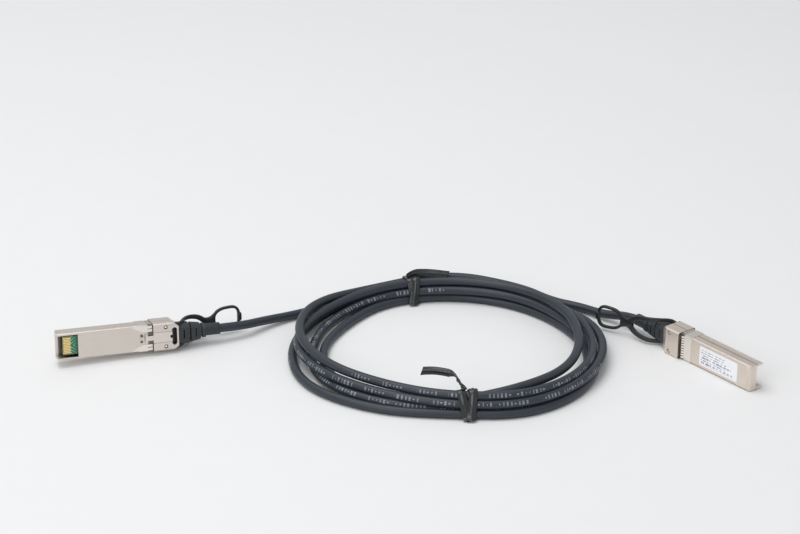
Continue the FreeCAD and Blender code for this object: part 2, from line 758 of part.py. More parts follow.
def draw_ring(sketch, sway):
    """Narrow web that widens into a ring with a round end and an opening for a finger."""
    web = s.tab_waist_width / 2
    outer = s.tab_ring_width / 2
    middle = s.tab_ring_straight
    near_side = [(middle, -outer), (s.tab_ring_flare, -outer), (s.tab_web_length, -web), (0, -web - sway)]
    far_side = [(0, web - sway), (s.tab_web_length, web), (s.tab_ring_flare, outer), (middle, outer)]
    draw_round_end(sketch, near_side + far_side, middle, outer)
    hole = outer - s.tab_ring_rim
    start = s.tab_hole_start
    corner = s.tab_hole_corner
    near_side = [(middle, -hole), (start + corner, -hole), (start, corner - hole)]
    far_side = [(start, hole - corner), (start + corner, hole), (middle, hole)]
    draw_round_end(sketch, near_side + far_side, middle, hole)


def draw_round_end(sketch, corners, x, radius):
    """Outline through the corners, closed by a half round about the point at x on the sketch's x axis."""
    spots = [FreeCAD.Vector(Size.of(a).value, Size.of(b).value, 0) for a, b in corners]
    first = sketch.GeometryCount
    for here, there in zip(spots, spots[1:]):
        sketch.addGeometry(Part.LineSegment(here, there), False)
    circle = Part.Circle(FreeCAD.Vector(x.value, 0, 0), FreeCAD.Vector(0, 0, 1), radius.value)
    arc = sketch.addGeometry(Part.ArcOfCircle(circle, -math.pi / 2, math.pi / 2), False)
    last = arc - 1
    for edge in range(first, last):
        sketch.addConstraint(Sketcher.Constraint("Coincident", edge, 2, edge + 1, 1))
    sketch.addConstraint(Sketcher.Constraint("Coincident", first, 1, arc, 1))
    sketch.addConstraint(Sketcher.Constraint("Coincident", last, 2, arc, 2))
    for edge, corner in enumerate(corners[:-1], start=first):
        bind_point(sketch, edge, 1, *corner)
    bind_point(sketch, last, 2, *corners[-1])
    index = sketch.addConstraint(Sketcher.Constraint("DistanceX", -1, 1, arc, 3, x.value))
    sketch.setExpression(f"Constraints[{index}]", x.text)


def draw_arm_side(sketch):
    """Side view of the arms: along from the bar, up over an elbow and on to the web."""
    thick = s.tab_arm_thickness
    low = -s.tab_leg_bottom
    elbow = s.tab_elbow_reach
    end = s.tab_web_start + thick / 2
    under = [(s.slider_end, low), (s.tab_foot_end, low), (elbow, s.tab_elbow_height - thick),
             (end, s.tab_web_height - thick / 2)]
    over = [(s.tab_web_start, s.tab_web_height + thick / 2), (elbow - thick, s.tab_elbow_height),
            (s.tab_foot_end - thick / 2, TAB_LEG_TOP), (s.slider_end, TAB_LEG_TOP)]
    draw_outline(sketch, under + over)


def make_card(side, placement):
    """Edge card with its narrow contact tip."""
    body = new_body(f"{side}_paddle_card", placement)
    outline = new_sketch(body, "outline", "XY_Plane", CARD_BOTTOM)
    tip = s.card_tip_width / 2
    full = CAVITY_HALF
    shoulder = s.card_shoulder
    draw_outline(outline, [(s.card_start, -tip), (shoulder, -tip), (shoulder, -full), (s.card_end, -full),
                           (s.card_end, full), (shoulder, full), (shoulder, tip), (s.card_start, tip)])
    pad(body, outline, s.card_thickness)


def make_contacts(side, placement):
    """Gold contact pads in a row on each face of the card, every third one longer."""
    pads = []
    for face, height in (("lower", CARD_BOTTOM - s.pad_thickness), ("upper", CARD_TOP)):
        for i in range(PAD_COUNT):
            across = s.pad_pitch * (i - (PAD_COUNT - 1) / 2) - s.pad_width / 2
            extra = s.pad_long_extra if i % 3 == 0 else Size.of(0)
            name = f"{side}_{face}_pad_{i + 1}"
            pads.append(new_box(name, s.pad_start - extra / 2, across, height,
                                s.pad_length + extra, s.pad_width, s.pad_thickness))
    new_group(f"{side}_gold_contacts", pads, placement)


def make_card_parts(side, placement):
    """Memory chip and a row of small capacitors on the card's upper face."""
    chip = new_box(f"{side}_chip", s.chip_start, -s.chip_size / 2, CARD_TOP,
                   s.chip_size, s.chip_size, s.chip_height)
    parts = [chip]
    for i in range(CAPACITOR_COUNT):
        across = s.capacitor_pitch * (i - (CAPACITOR_COUNT - 1) / 2) - s.capacitor_width / 2
        parts.append(new_box(f"{side}_capacitor_{i + 1}", s.card_shoulder, across, CARD_TOP,
                             s.capacitor_length, s.capacitor_width, s.capacitor_height))
    new_group(f"{side}_card_components", parts, placement)


def make_leads(side, placement):
    """Flat foil-wrapped lead pairs from the card to the ferrule."""
    leads = []
    for i in range(LEAD_COUNT):
        across = s.lead_pitch * (i - (LEAD_COUNT - 1) / 2) - s.lead_width / 2
        leads.append(new_box(f"{side}_lead_{i + 1}", s.lead_start, across, CARD_TOP,
                             s.ferrule_start - s.lead_start, s.lead_width, s.lead_height))
    new_group(f"{side}_twinax_leads", leads, placement)


def make_ferrule(side, placement):
    """Crimped ferrule on the cable's shield, held between the shells."""
    body = new_body(f"{side}_crimp_ferrule", placement)
    section = new_sketch(body, "section", "YZ_Plane", s.ferrule_start)
    draw_hexagon(section, s.ferrule_radius)
    pad(body, section, s.tab_room_start - s.ferrule_start)


def make_boot(side, placement):
    """Strain relief: a slotted square front that narrows in steps to a round sleeve on the cable."""
    body = new_body(f"{side}_strain_relief", placement)
    neck = new_sketch(body, "neck", "YZ_Plane", s.tab_room_start)
    half_width = s.boot_neck_width / 2
    half_height = s.boot_neck_height / 2
    draw_box(neck, -half_width, half_width, -half_height, half_height)
    pad(body, neck, s.block_end - s.tab_room_start)
    level = Size.of(0)
    add_taper(body, "front", (s.block_end, s.boot_front_width, s.boot_front_height, s.boot_front_drop),
              (s.boot_front_end, s.boot_front_end_width, s.boot_front_end_height, s.boot_front_end_drop))
    add_taper(body, "core", (s.boot_front_end, s.boot_core_width, s.boot_core_size, level),
              (s.boot_tail_start, s.boot_core_size, s.boot_core_size, level))
    add_taper(body, "rib", (s.boot_rib_start, s.boot_rib_width, s.boot_rib_height, s.boot_rib_drop),
              (s.boot_rib_end, s.boot_rib_end_width, s.boot_rib_end_height, s.boot_rib_end_drop))
    add_taper(body, "ring", (s.boot_ring_start, s.boot_ring_size, s.boot_ring_size, level),
              (s.boot_tail_start, s.boot_ring_size, s.boot_ring_size, level))

    sleeve = new_sketch(body, "sleeve", "YZ_Plane", s.boot_tail_start)
    draw_circle(sleeve, 0, 0, s.boot_tail_radius)
    pad(body, sleeve, s.boot_end - s.boot_tail_start)

    rib_top = s.boot_rib_end_height / 2 - s.boot_rib_end_drop
    rib_bottom = -s.boot_rib_end_height / 2 - s.boot_rib_end_drop
    slots = new_sketch(body, "slots", "XY_Plane", rib_top - s.boot_slot_depth)
    under = new_sketch(body, "under_slots", "XY_Plane", rib_bottom + s.boot_slot_depth)
    for start, end in ((s.block_end, s.boot_front_end), (s.boot_rib_start, s.boot_rib_end)):
        middle = (start + end) / 2
        for sketch in (slots, under):
            draw_box(sketch, middle - s.boot_slot_width / 2, middle + s.boot_slot_width / 2,
                     -s.boot_slot_length / 2, s.boot_slot_length / 2)
    pocket(body, slots, s.boot_front_height, reverse=True)
    pocket(body, under, s.boot_front_height)


def add_taper(body, name, start, end):
    """Eight-sided length of the boot between two sections: place, width, height, drop of the middle."""
    sections = []
    for label, (place, width, height, drop) in (("from", start), ("to", end)):
        sketch = new_sketch(body, f"{name}_{label}", "YZ_Plane", place)
        draw_bevelled_box(sketch, -width / 2, width / 2, -height / 2 - drop, height / 2 - drop, s.boot_bevel)
        sections.append(sketch)
    doc.recompute()
    loft = body.newObject("PartDesign::AdditiveLoft", f"{body.Name}_{name}")
    loft.Profile = sections[0]
    loft.Sections = sections[1:]
    loft.Ruled = True
    body.Tip = loft
    doc.recompute()


def make_rivets(side, placement):
    """Two pins through the block, peened just below its faces."""
    rivets = []
    low = BLOCK_BOTTOM + s.rivet_sink
    length = BLOCK_TOP - s.rivet_sink - low
    for name, across in (("near", s.rivet_spread / 2), ("far", -s.rivet_spread / 2)):
        rivets.append(new_rod(f"{side}_{name}_rivet", s.rivet_place, across, low, s.rivet_radius, length))
    new_group(f"{side}_shell_rivets", rivets, placement)


def make_label(placement):
    """Plain sticker on the right module's top face."""
    body = new_body("right_label", placement)
    outline = new_sketch(body, "outline", "XY_Plane", BODY_TOP)
    half = s.label_width / 2
    draw_bevelled_box(outline, s.label_start, s.label_start + s.label_length, -half, half, s.label_corner)
    pad(body, outline, s.label_thickness)


def make_module(side, placement, sway, tilt):
    make_top_shell(side, placement)
    make_bottom_shell(side, placement)
    make_emi_collar(side, placement)
    make_latch_slider(side, placement)
    make_pull_tab(side, placement, sway, tilt)
    make_card(side, placement)
    make_contacts(side, placement)
    make_card_parts(side, placement)
    make_leads(side, placement)
    make_ferrule(side, placement)
    make_boot(side, placement)
    make_rivets(side, placement)


def make_coil():
    """Outer shape of the tied coil, as one ring."""
    middle = FreeCAD.Vector(s.coil_centre_x.value, s.coil_centre_y.value, s.coil_bottom.value)
    body = new_body("cord_coil", FreeCAD.Placement(middle, FreeCAD.Rotation()))
    ring = new_sketch(body, "ring", "XY_Plane")
    draw_ellipse(ring, s.coil_outer_x, s.coil_outer_y)
    draw_ellipse(ring, s.coil_inner_x, s.coil_inner_y)
    pad(body, ring, s.coil_height)
    return body


def round_section(centre, direction, radius):
    """Many-sided face about a point on the cable, square to the cable's direction."""
    across = direction.cross(FreeCAD.Vector(0, 0, 1)).normalize() * radius
    above = across.cross(direction).normalize() * radius
    corners = []
    for i in range(TAIL_SIDES + 1):
        angle = 2 * math.pi * i / TAIL_SIDES
        corners.append(centre + across * math.cos(angle) + above * math.sin(angle))
    return Part.Face(Part.makePolygon(corners))


def make_tail(name, boot, points, coil):
    """Cable from a boot's end to the coil: straight runs joined by arcs as large as the runs allow."""
    start = boot.multVec(FreeCAD.Vector(s.boot_end.value, 0, 0))
    lead = boot.multVec(FreeCAD.Vector(s.boot_end.value + TAIL_LEAD_OUT, 0, 0))
    stops = [start, lead] + [FreeCAD.Vector(*point) for point in points]
    section = round_section(start, lead - start, s.cable_diameter.value / 2)
    runs = []
    length = 0.0
    here = start
    for before, corner, after in zip(stops, stops[1:], stops[2:]):
        inward, outward = (before - corner).normalize(), (after - corner).normalize()
        half_turn = (math.pi - inward.getAngle(outward)) / 2
        reach = TAIL_BEND_SHARE * min((before - corner).Length, (after - corner).Length)
        bend = reach / math.tan(half_turn)
        enter = corner + inward * reach
        hub = corner + (inward + outward).normalize() * (bend / math.cos(half_turn))
        axis = outward.cross(inward)
        runs.append(section.extrude(enter - here))
        section.translate(enter - here)
        runs.append(section.revolve(hub, axis, math.degrees(2 * half_turn)))
        section.rotate(hub, axis, math.degrees(2 * half_turn))
        length += (enter - here).Length + bend * 2 * half_turn
        here = corner + outward * reach
        print(f"{name} bend radius {bend:.1f} mm")
    runs.append(section.extrude(stops[-1] - here))
    length += (stops[-1] - here).Length
    tube = runs[0].multiFuse(runs[1:])
    expected = section.Area * length
    print(f"{name} length {length:.1f} mm, volume {tube.Volume:.1f} of {expected:.1f} mm3")
    tail = doc.addObject("Part::Feature", name)
    tail.Label = name
    tail.Shape = tube.cut(coil.Shape)
    pieces.append(tail)


def coil_spot(angle):
    """Placement at the middle of the coil's section, X outwards, and the section's half width there."""
    turn = math.radians(angle.value)
    reach = []
    for long_half, short_half in ((s.coil_inner_x, s.coil_inner_y), (s.coil_outer_x, s.coil_outer_y)):
        reach.append(1 / math.hypot(math.cos(turn) / long_half.value, math.sin(turn) / short_half.value))
    middle = sum(reach) / 2
    x = s.coil_centre_x.value + middle * math.cos(turn)
    y = s.coil_centre_y.value + middle * math.sin(turn)
    outwards = FreeCAD.Rotation(FreeCAD.Vector(0, 0, 1), angle.value)
    return FreeCAD.Placement(FreeCAD.Vector(x, y, 0), outwards), Size.of((reach[1] - reach[0]) / 2)


def make_tie_band(name, angle):
    """Flat tie bent once round the coil's section; X is outwards from the coil's middle."""
    placement, inner = coil_spot(angle)
    body = new_body(name, placement)
    band = new_sketch(body, "band", "XZ_Plane")
    outer = inner + s.tie_sheet
    draw_bevelled_box(band, -outer, outer, Size.of(0), TIE_TOP, s.tie_bevel)
    draw_box(band, -inner, inner, s.tie_sheet, TIE_TOP - s.tie_sheet)
    pad(body, band, s.tie_width, middle=True)
    return body, inner


def make_rear_tie():
    """Tie at the back of the coil; its flat tail lies along the coil's top."""
    body, _ = make_tie_band("rear_tie", s.rear_tie_angle)
    tail = new_sketch(body, "tail", "YZ_Plane")
    start = -s.tie_width / 2
    end = start - s.rear_tie_tail
    low = TIE_TOP - s.tie_sheet
    draw_outline(tail, [(0, low), (0, TIE_TOP), (end, TIE_TOP + s.tie_sheet), (end, TIE_TOP), (start, low)])
    pad(body, tail, s.tie_tail_width, middle=True)


def make_front_tie():
    """Tie at the front of the coil; its twisted stem points inwards and ends in a flat tail."""
    body, inner = make_tie_band("front_tie", s.front_tie_angle)
    stem = new_sketch(body, "stem", "XY_Plane", s.tie_stem_bottom)
    start = -inner - s.tie_sheet / 2
    reach = start - s.tie_stem_reach
    bend = reach + s.tie_tail_width
    half = s.tie_stem_width / 2
    end = -s.front_tie_tail
    draw_outline(stem, [(start, -half), (start, half), (bend, half), (reach, -half),
                        (reach, end), (bend, end), (bend, -half)])
    pad(body, stem, s.tie_sheet)


def check_document():
    """Every object is up to date and every piece is a sound solid."""
    doc.recompute()
    for item in doc.Objects:
        if "Invalid" in item.State or "Error" in item.State:
            raise RuntimeError(f"{item.Name} failed: {item.State}")
    for piece in pieces:
        if piece.Shape.isNull() or not piece.Shape.isValid() or not piece.Shape.Solids:
            raise RuntimeError(f"{piece.Label} has no sound solid")


flat = Size.of(0)
left_place = lying(s.left_place_x, s.left_place_y, s.left_place_z, s.left_heading, s.left_tip, s.left_lean)
right_place = lying(s.right_place_x, s.right_place_y, s.right_place_z, s.right_heading, flat, flat)
make_module("left", left_place, s.left_tab_sway, s.left_tab_tilt)
make_module("right", right_place, s.right_tab_sway, s.right_tab_tilt)
make_label(right_place)
coil_ring = make_coil()
make_tail("cord_tail_left", left_place, LEFT_TAIL_POINTS, coil_ring)
make_tail("cord_tail_right", right_place, RIGHT_TAIL_POINTS, coil_ring)
make_rear_tie()
make_front_tie()
check_document()

os.makedirs("parts", exist_ok=True)
for piece in pieces:
    piece.Shape.exportStep(f"parts/{piece.Label}.step")
    print(f"{piece.Label}: {len(piece.Shape.Solids)} solid(s), {piece.Shape.Volume:.1f} mm3")
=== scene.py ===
import math

import bpy
import numpy as np
from mathutils import Matrix, Vector


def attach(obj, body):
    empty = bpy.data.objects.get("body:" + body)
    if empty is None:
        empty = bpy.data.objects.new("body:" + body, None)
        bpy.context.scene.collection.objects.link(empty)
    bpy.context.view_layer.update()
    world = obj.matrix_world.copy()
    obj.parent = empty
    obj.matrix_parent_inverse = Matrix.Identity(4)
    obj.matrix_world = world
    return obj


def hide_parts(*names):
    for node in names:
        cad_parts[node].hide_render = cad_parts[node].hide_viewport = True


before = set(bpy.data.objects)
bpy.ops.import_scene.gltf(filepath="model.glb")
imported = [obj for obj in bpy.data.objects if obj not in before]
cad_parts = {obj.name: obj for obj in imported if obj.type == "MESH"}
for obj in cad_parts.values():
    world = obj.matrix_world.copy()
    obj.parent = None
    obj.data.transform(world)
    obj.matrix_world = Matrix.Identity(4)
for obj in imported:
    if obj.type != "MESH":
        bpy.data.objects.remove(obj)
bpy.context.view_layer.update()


# Camera
# A long lens on a tripod, a little above the table, that looks straight across it.
# The lens and the place were fitted to both modules, which are of a known size.
LENS = 117.0
SENSOR_WIDTH = 36.0
FAR_CLIP = 20.0
LOOK_AT = Vector((-0.0034, 0.1087, 0.0))
CAMERA_DISTANCE = 1.37933
CAMERA_ELEVATION = math.radians(24.0)
CAMERA_ROLL = math.radians(0.6)

away = Vector((0.0, math.cos(CAMERA_ELEVATION), -math.sin(CAMERA_ELEVATION)))
level_right = Vector((1.0, 0.0, 0.0))
level_up = level_right.cross(away)
image_right = level_right * math.cos(CAMERA_ROLL) + level_up * math.sin(CAMERA_ROLL)
image_up = level_up * math.cos(CAMERA_ROLL) - level_right * math.sin(CAMERA_ROLL)
camera_data = bpy.data.cameras.new("camera")
camera_data.lens = LENS
camera_data.sensor_width = SENSOR_WIDTH
camera_data.clip_end = FAR_CLIP
camera = bpy.data.objects.new("camera", camera_data)
turn = Matrix((image_right, image_up, -away)).transposed().to_4x4()
camera.matrix_world = Matrix.Translation(LOOK_AT - away * CAMERA_DISTANCE) @ turn
bpy.context.scene.collection.objects.link(camera)
bpy.context.scene.camera = camera
bpy.context.scene.view_settings.view_transform = "Standard"


# Floor
# A sheet of pale matt board under the object, wider than any view of it.
FLOOR_HALF = 4.0
BOARD_DARK = (0.83, 0.83, 0.83, 1)
BOARD_PALE = (0.85, 0.85, 0.85, 1)
SHARP_ANGLE = math.radians(45.0)


class Finish:
    """One socket of a node tree: operators on it add Math nodes, and add() adds any other node."""

    def __init__(self, tree, socket=None):
        self.tree = tree
        self.socket = socket

    def add(self, kind, sockets=None, out=0, **settings):
        """A new node of that kind: its settings first, then the values or links of its sockets."""
        node = self.tree.nodes.new("ShaderNode" + kind)
        for name, value in settings.items():
            setattr(node, name, value)
        for key, value in (sockets or {}).items():
            if isinstance(value, Finish):
                self.tree.links.new(value.socket, node.inputs[key])
            else:
                node.inputs[key].default_value = value
        return Finish(self.tree, node.outputs[out])

    def math(self, operation, *values):
        """A Math node of that operation on these values."""
        return self.add("Math", dict(enumerate(values)), operation=operation)

    def blend(self, mask, first, second):
        """The first colour where the mask is 0 and the second where it is 1."""
        return self.add("Mix", {0: mask, 6: first, 7: second}, out=2, data_type="RGBA")

    def __add__(self, other):
        return self.math("ADD", self, other)

    def __radd__(self, other):
        return self.math("ADD", other, self)

    def __sub__(self, other):
        return self.math("SUBTRACT", self, other)

    def __rsub__(self, other):
        return self.math("SUBTRACT", other, self)

    def __mul__(self, other):
        return self.math("MULTIPLY", self, other)

    def __rmul__(self, other):
        return self.math("MULTIPLY", other, self)

    def __gt__(self, other):
        return self.math("GREATER_THAN", self, other)

    def __lt__(self, other):
        return self.math("LESS_THAN", self, other)


def new_finish(name, **constants):
    """A material with one principled shader, its constant sockets set by name, and its empty Finish."""
    material = bpy.data.materials.new(name)
    material.use_nodes = True
    shader = material.node_tree.nodes["Principled BSDF"]
    for socket, value in constants.items():
        shader.inputs[socket.replace("_", " ")].default_value = value
    return material, shader, Finish(material.node_tree)


def feed(shader, **links):
    """Links what changes over the surface to the shader's sockets by name."""
    for socket, value in links.items():
        value.tree.links.new(value.socket, shader.inputs[socket.replace("_", " ")])


def noise(nodes, scale, detail=2.0, vector=None):
    """Cloudy noise with that many cells to a unit of the vector, or to a metre of the surface's place."""
    spot = vector or nodes.add("TexCoord", out=3)
    return nodes.add("TexNoise", {"Vector": spot, "Scale": scale, "Detail": detail})


def new_mesh(name, points, faces, material, smooth=True):
    """A mesh object at the origin from point and face arrays."""
    mesh = bpy.data.meshes.new(name)
    mesh.from_pydata(points.tolist(), [], faces)
    mesh.polygons.foreach_set("use_smooth", [smooth] * len(mesh.polygons))
    mesh.set_sharp_from_angle(angle=SHARP_ANGLE)
    mesh.materials.append(material)
    mesh.update()
    piece = bpy.data.objects.new(name, mesh)
    bpy.context.scene.collection.objects.link(piece)
    return piece


board, board_shader, board_nodes = new_finish("pale_board", Roughness=0.7)
board_grain = noise(board_nodes, scale=60.0, detail=4.0)
feed(board_shader, Base_Color=board_nodes.blend(board_grain, BOARD_DARK, BOARD_PALE))
floor_corners = np.array([(-1, -1, 0), (1, -1, 0), (1, 1, 0), (-1, 1, 0)]) * FLOOR_HALF
floor = new_mesh("floor", floor_corners, [[0, 1, 2, 3]], board, smooth=False)


# Light
# A wide soft box over the table, a weaker one at the camera's left, and an even white room.
ROOM_COLOUR = (0.97, 0.98, 1.0, 1.0)
ROOM_STRENGTH = 0.56

world = bpy.data.worlds.new("room")
world.use_nodes = True
world.node_tree.nodes["Background"].inputs["Color"].default_value = ROOM_COLOUR
world.node_tree.nodes["Background"].inputs["Strength"].default_value = ROOM_STRENGTH
bpy.context.scene.world = world


def soft_box(name, place, width, watts):
    """A square area lamp at that place, turned towards the object."""
    lamp_data = bpy.data.lights.new(name, "AREA")
    lamp_data.size = width
    lamp_data.energy = watts
    lamp = bpy.data.objects.new(name, lamp_data)
    lamp.location = place
    lamp.rotation_euler = (-Vector(place)).to_track_quat("-Z", "Y").to_euler()
    bpy.context.scene.collection.objects.link(lamp)


soft_box("top_box", place=(-0.40, 0.10, 1.5), width=1.1, watts=11.0)
soft_box("left_box", place=(-0.9, -1.3, 1.0), width=0.9, watts=8.0)


# Cable
# Two screened pairs in a round dark jacket, printed along one side, about 2.4 m from boot to boot.
# It leaves the left boot, makes five loose turns and a bit more, and goes back into the right boot.
CABLE_RADIUS = 0.0022
COIL_CENTRE = (0.0209, 0.0035)
COIL_HALF_AXES = (0.0690, 0.0662)
COIL_STEP = math.radians(30.0)
COIL_START = math.radians(120.0)
LEFT_TAIL = [
    (-0.0943, 0.0151, 0.0073),
    (-0.0816, 0.0197, 0.0068),
    (-0.0708, 0.0317, 0.0042),
    (-0.0588, 0.0412, 0.0024),
    (-0.0458, 0.0492, 0.0023),
    (-0.0345, 0.0535, 0.0023),
]
RIGHT_TAIL = [
    (0.0585, 0.0665, 0.0082),
    (0.0747, 0.0617, 0.0026),
    (0.0884, 0.0558, 0.0024),
    (0.0976, 0.0474, 0.0030),
    (0.1049, 0.0420, 0.0042),
    (0.1114, 0.0367, 0.0063),
    (0.1171, 0.0304, 0.0070),
]
# Millimetres outwards from the middle ring, at twelve places a turn from the back to the right,
# the front and the left; the last row is the bit of a turn that ends in the right tail.
TURNS_OUT = [
    [2.6, 0.9, 1.6, 9.0, 6.7, 6.9, 7.2, -0.3, -2.4, 2.3, 6.2, 2.4],
    [-1.3, -2.4, -1.8, -3.5, -5.3, -3.4, -1.0, -4.8, -5.0, -4.0, -7.8, -10.8],
    [-4.8, -3.6, -3.8, -4.4, -1.0, 2.8, 4.6, -3.6, 2.0, 2.7, -2.6, -2.2],
    [-2.6, -5.0, -3.2, -4.3, 2.6, 7.4, 9.2, 0.8, 5.6, 10.8, 7.6, 5.0],
    [0.6, 0.2, 1.4, 3.0, 1.8, 3.2, 4.8, -2.4, -6.8, -1.0, 4.5, 8.6],
    [4.2, 4.2],
]
# Millimetres above the table at the same places.
TURNS_UP = [
    [2.2, 2.2, 2.2, 3.4, 6.2, 6.6, 6.6, 6.6, 7.0, 7.6, 6.6, 6.6],
    [9.9, 10.5, 11.0, 11.8, 10.8, 9.8, 11.6, 5.6, 2.2, 2.2, 2.2, 2.2],
    [2.2, 2.2, 2.2, 2.2, 2.2, 2.2, 2.2, 2.2, 4.2, 3.0, 2.3, 2.4],
    [5.6, 6.6, 6.7, 6.6, 2.3, 2.2, 2.2, 2.2, 2.2, 2.2, 2.2, 2.6],
    [6.5, 6.6, 6.6, 7.0, 6.7, 8.6, 10.2, 10.2, 9.7, 11.2, 11.2, 9.3],
    [6.6, 11.2],
]
MILLIMETRE = 0.001


def coil_points():
    """Points round an ellipse, each moved outwards and up; a spline of order 3 cuts their corners,
    so they stand further out by the cosine of half a step."""
    out = np.concatenate(TURNS_OUT) * MILLIMETRE
    up = np.concatenate(TURNS_UP) * MILLIMETRE
    angle = COIL_START - COIL_STEP * np.arange(len(out))
    wide, deep = COIL_HALF_AXES
    ring = wide * deep / np.hypot(deep * np.cos(angle), wide * np.sin(angle))
    reach = (ring + out) / math.cos(COIL_STEP / 2)
    x = COIL_CENTRE[0] + reach * np.cos(angle)
    y = COIL_CENTRE[1] + reach * np.sin(angle)
    return np.stack([x, y, up], axis=1)


def smooth_line(name, points, resolution):
    """Points along one open spline of order 3 that has these points as its control points."""
    line = bpy.data.curves.new(name, "CURVE")
    line.dimensions = "3D"
    spline = line.splines.new("NURBS")
    spline.points.add(len(points) - 1)
    spline.points.foreach_set("co", np.column_stack([points, np.ones(len(points))]).ravel())
    spline.order_u = 3
    spline.use_endpoint_u = True
    spline.resolution_u = resolution
    holder = bpy.data.objects.new(name, line)
    bpy.context.scene.collection.objects.link(holder)
    mesh = bpy.data.meshes.new_from_object(holder)
    path = np.zeros(len(mesh.vertices) * 3)
    mesh.vertices.foreach_get("co", path)
    bpy.data.objects.remove(holder)
    bpy.data.meshes.remove(mesh)
    return path.reshape(-1, 3)


def level_frames(path):
    """The direction of a path at each point, the level direction across it and the one above."""
    along = np.gradient(path, axis=0)
    along /= np.linalg.norm(along, axis=1, keepdims=True)
    across = np.cross(along, (0.0, 0.0, 1.0))
    across /= np.linalg.norm(across, axis=1, keepdims=True)
    return along, across, np.cross(across, along)


def grid_faces(rows, columns, closed=False):
    """Faces of a tube given row by row: quads round each row, and caps or a join at its two ends."""
    count = rows if closed else rows - 1
    row = np.arange(count)[:, None] * columns
    ahead = (np.arange(count)[:, None] + 1) % rows * columns
    here = np.arange(columns)[None]
    after = (here + 1) % columns
    corners = [row + here, row + after, ahead + after, ahead + here]
    quads = np.stack(corners, axis=-1).reshape(-1, len(corners)).tolist()
    if closed:
        return quads
    last = (rows - 1) * columns
    return quads + [list(range(columns))[::-1], list(range(last, last + columns))]


CABLE_SIDES = 24
CABLE_LINE_STEPS = 12

cable_route = np.concatenate([LEFT_TAIL, coil_points(), RIGHT_TAIL])
cable_path = smooth_line("cable_line", cable_route, CABLE_LINE_STEPS)
_, cable_across, cable_above = level_frames(cable_path)
round_angle = np.arange(CABLE_SIDES) * math.tau / CABLE_SIDES
cable_rim = (
    cable_across[:, None] * np.cos(round_angle)[None, :, None]
    + cable_above[:, None] * np.sin(round_angle)[None, :, None]
)
cable_points = (cable_path[:, None] + CABLE_RADIUS * cable_rim).reshape(-1, 3)
cable_steps = np.linalg.norm(np.diff(cable_path, axis=0), axis=1)
cable_metres = np.concatenate([[0.0], np.cumsum(cable_steps)])


def ramp(nodes, value, start, end, low=0.0, high=1.0):
    """Low up to the start, high from the end on, and straight in between."""
    return nodes.add("MapRange", {0: value, 1: start, 2: end, 3: low, 4: high})


def span(share, low, high):
    """Low where the share is 0, high where it is 1, and straight in between."""
    return share * (high - low) + low


def bump(nodes, height, strength, depth, base=None):
    """A normal that follows a height of that depth, on the true surface or on another normal."""
    sockets = {"Height": height, "Strength": strength, "Distance": depth}
    if base:
        sockets["Normal"] = base
    return nodes.add("Bump", sockets)


def chance(nodes, number, out=0):
    """What a whole number draws: a value from 0 to 1, or a colour from the second output."""
    return nodes.add("TexWhiteNoise", {"W": number}, out=out, noise_dimensions="1D")


SCUFFS_ALONG = 90.0
SCUFFS_ROUND = 26.0
JACKET_DARK = (0.019, 0.026, 0.036, 1)
JACKET_PALE = (0.031, 0.039, 0.052, 1)
JACKET_SCUFF = (0.075, 0.085, 0.098, 1)
SCUFF_LEVEL = 0.52
SCUFF_CONTRAST = 1.2
PRINT_GREY = (0.42, 0.45, 0.49, 1)
PRINT_COVER = 0.8
PRINT_WORN = 0.30
PRINT_CONTRAST = 3.0
PRINT_SIDE = 0.43
PRINT_HALF = 0.068
TWIST_PLACE = 1.385
TWIST_LENGTH = 0.11
TWIST_TURN = 0.35
BAR_STEP = 0.0019
SHORT_BARS = 0.4
WORD_STEP = 0.0171
LINE_START = 0.27
LINE_STEP = 0.72
LINE_SHARE = 0.56

jacket, jacket_shader, jacket_nodes = new_finish("cable_jacket", Specular_IOR_Level=0.5)
jacket_place = jacket_nodes.add("UVMap", uv_map="along_and_round")
run = jacket_nodes.add("SeparateXYZ", {0: jacket_place}, out=0)
around = jacket_nodes.add("SeparateXYZ", {0: jacket_place}, out=1)
stretched = jacket_nodes.add("CombineXYZ", {0: run * SCUFFS_ALONG, 1: around * SCUFFS_ROUND})
scuff_sockets = {"Vector": stretched, "Scale": 1.0, "Detail": 6.0, "Roughness": 0.65}
scuffs = jacket_nodes.add("TexNoise", scuff_sockets)
clouds = noise(jacket_nodes, scale=45.0, detail=3.0)
# Print: plain bars, tall and short, in groups with gaps. It lies on the coil's outer side, but for one
# place where the cable has turned and brings it to the inner side.
twist_share = (run - TWIST_PLACE) * (1 / TWIST_LENGTH)
twist = jacket_nodes.math("EXPONENT", twist_share * twist_share * -1.0)
bar_up = jacket_nodes.math("ABSOLUTE", around - PRINT_SIDE + twist * TWIST_TURN) * (1 / PRINT_HALF)
bar_place = run * (1 / BAR_STEP)
bar_share = jacket_nodes.math("FRACT", bar_place)
bar_colour = chance(jacket_nodes, jacket_nodes.math("FLOOR", bar_place), out=1)
bar_length = span(jacket_nodes.add("SeparateXYZ", {0: bar_colour}, out=0), low=0.20, high=0.60)
tall_bar = jacket_nodes.add("SeparateXYZ", {0: bar_colour}, out=1) > SHORT_BARS
bar_height = span(tall_bar, low=0.45, high=1.0)
bars = (bar_share < bar_length) * (bar_up < bar_height)
word_place = run * (1 / WORD_STEP)
word_chance = chance(jacket_nodes, jacket_nodes.math("FLOOR", word_place))
in_word = jacket_nodes.math("FRACT", word_place) < span(word_chance, low=0.55, high=0.90)
in_line = jacket_nodes.math("FRACT", (run - LINE_START) * (1 / LINE_STEP) + 1.0) < LINE_SHARE
unworn = (scuffs - PRINT_WORN) * PRINT_CONTRAST
marks = ramp(jacket_nodes, bars * in_word * in_line * unworn, start=0.0, end=1.0, high=PRINT_COVER)
jacket_clouded = jacket_nodes.blend(clouds, JACKET_DARK, JACKET_PALE)
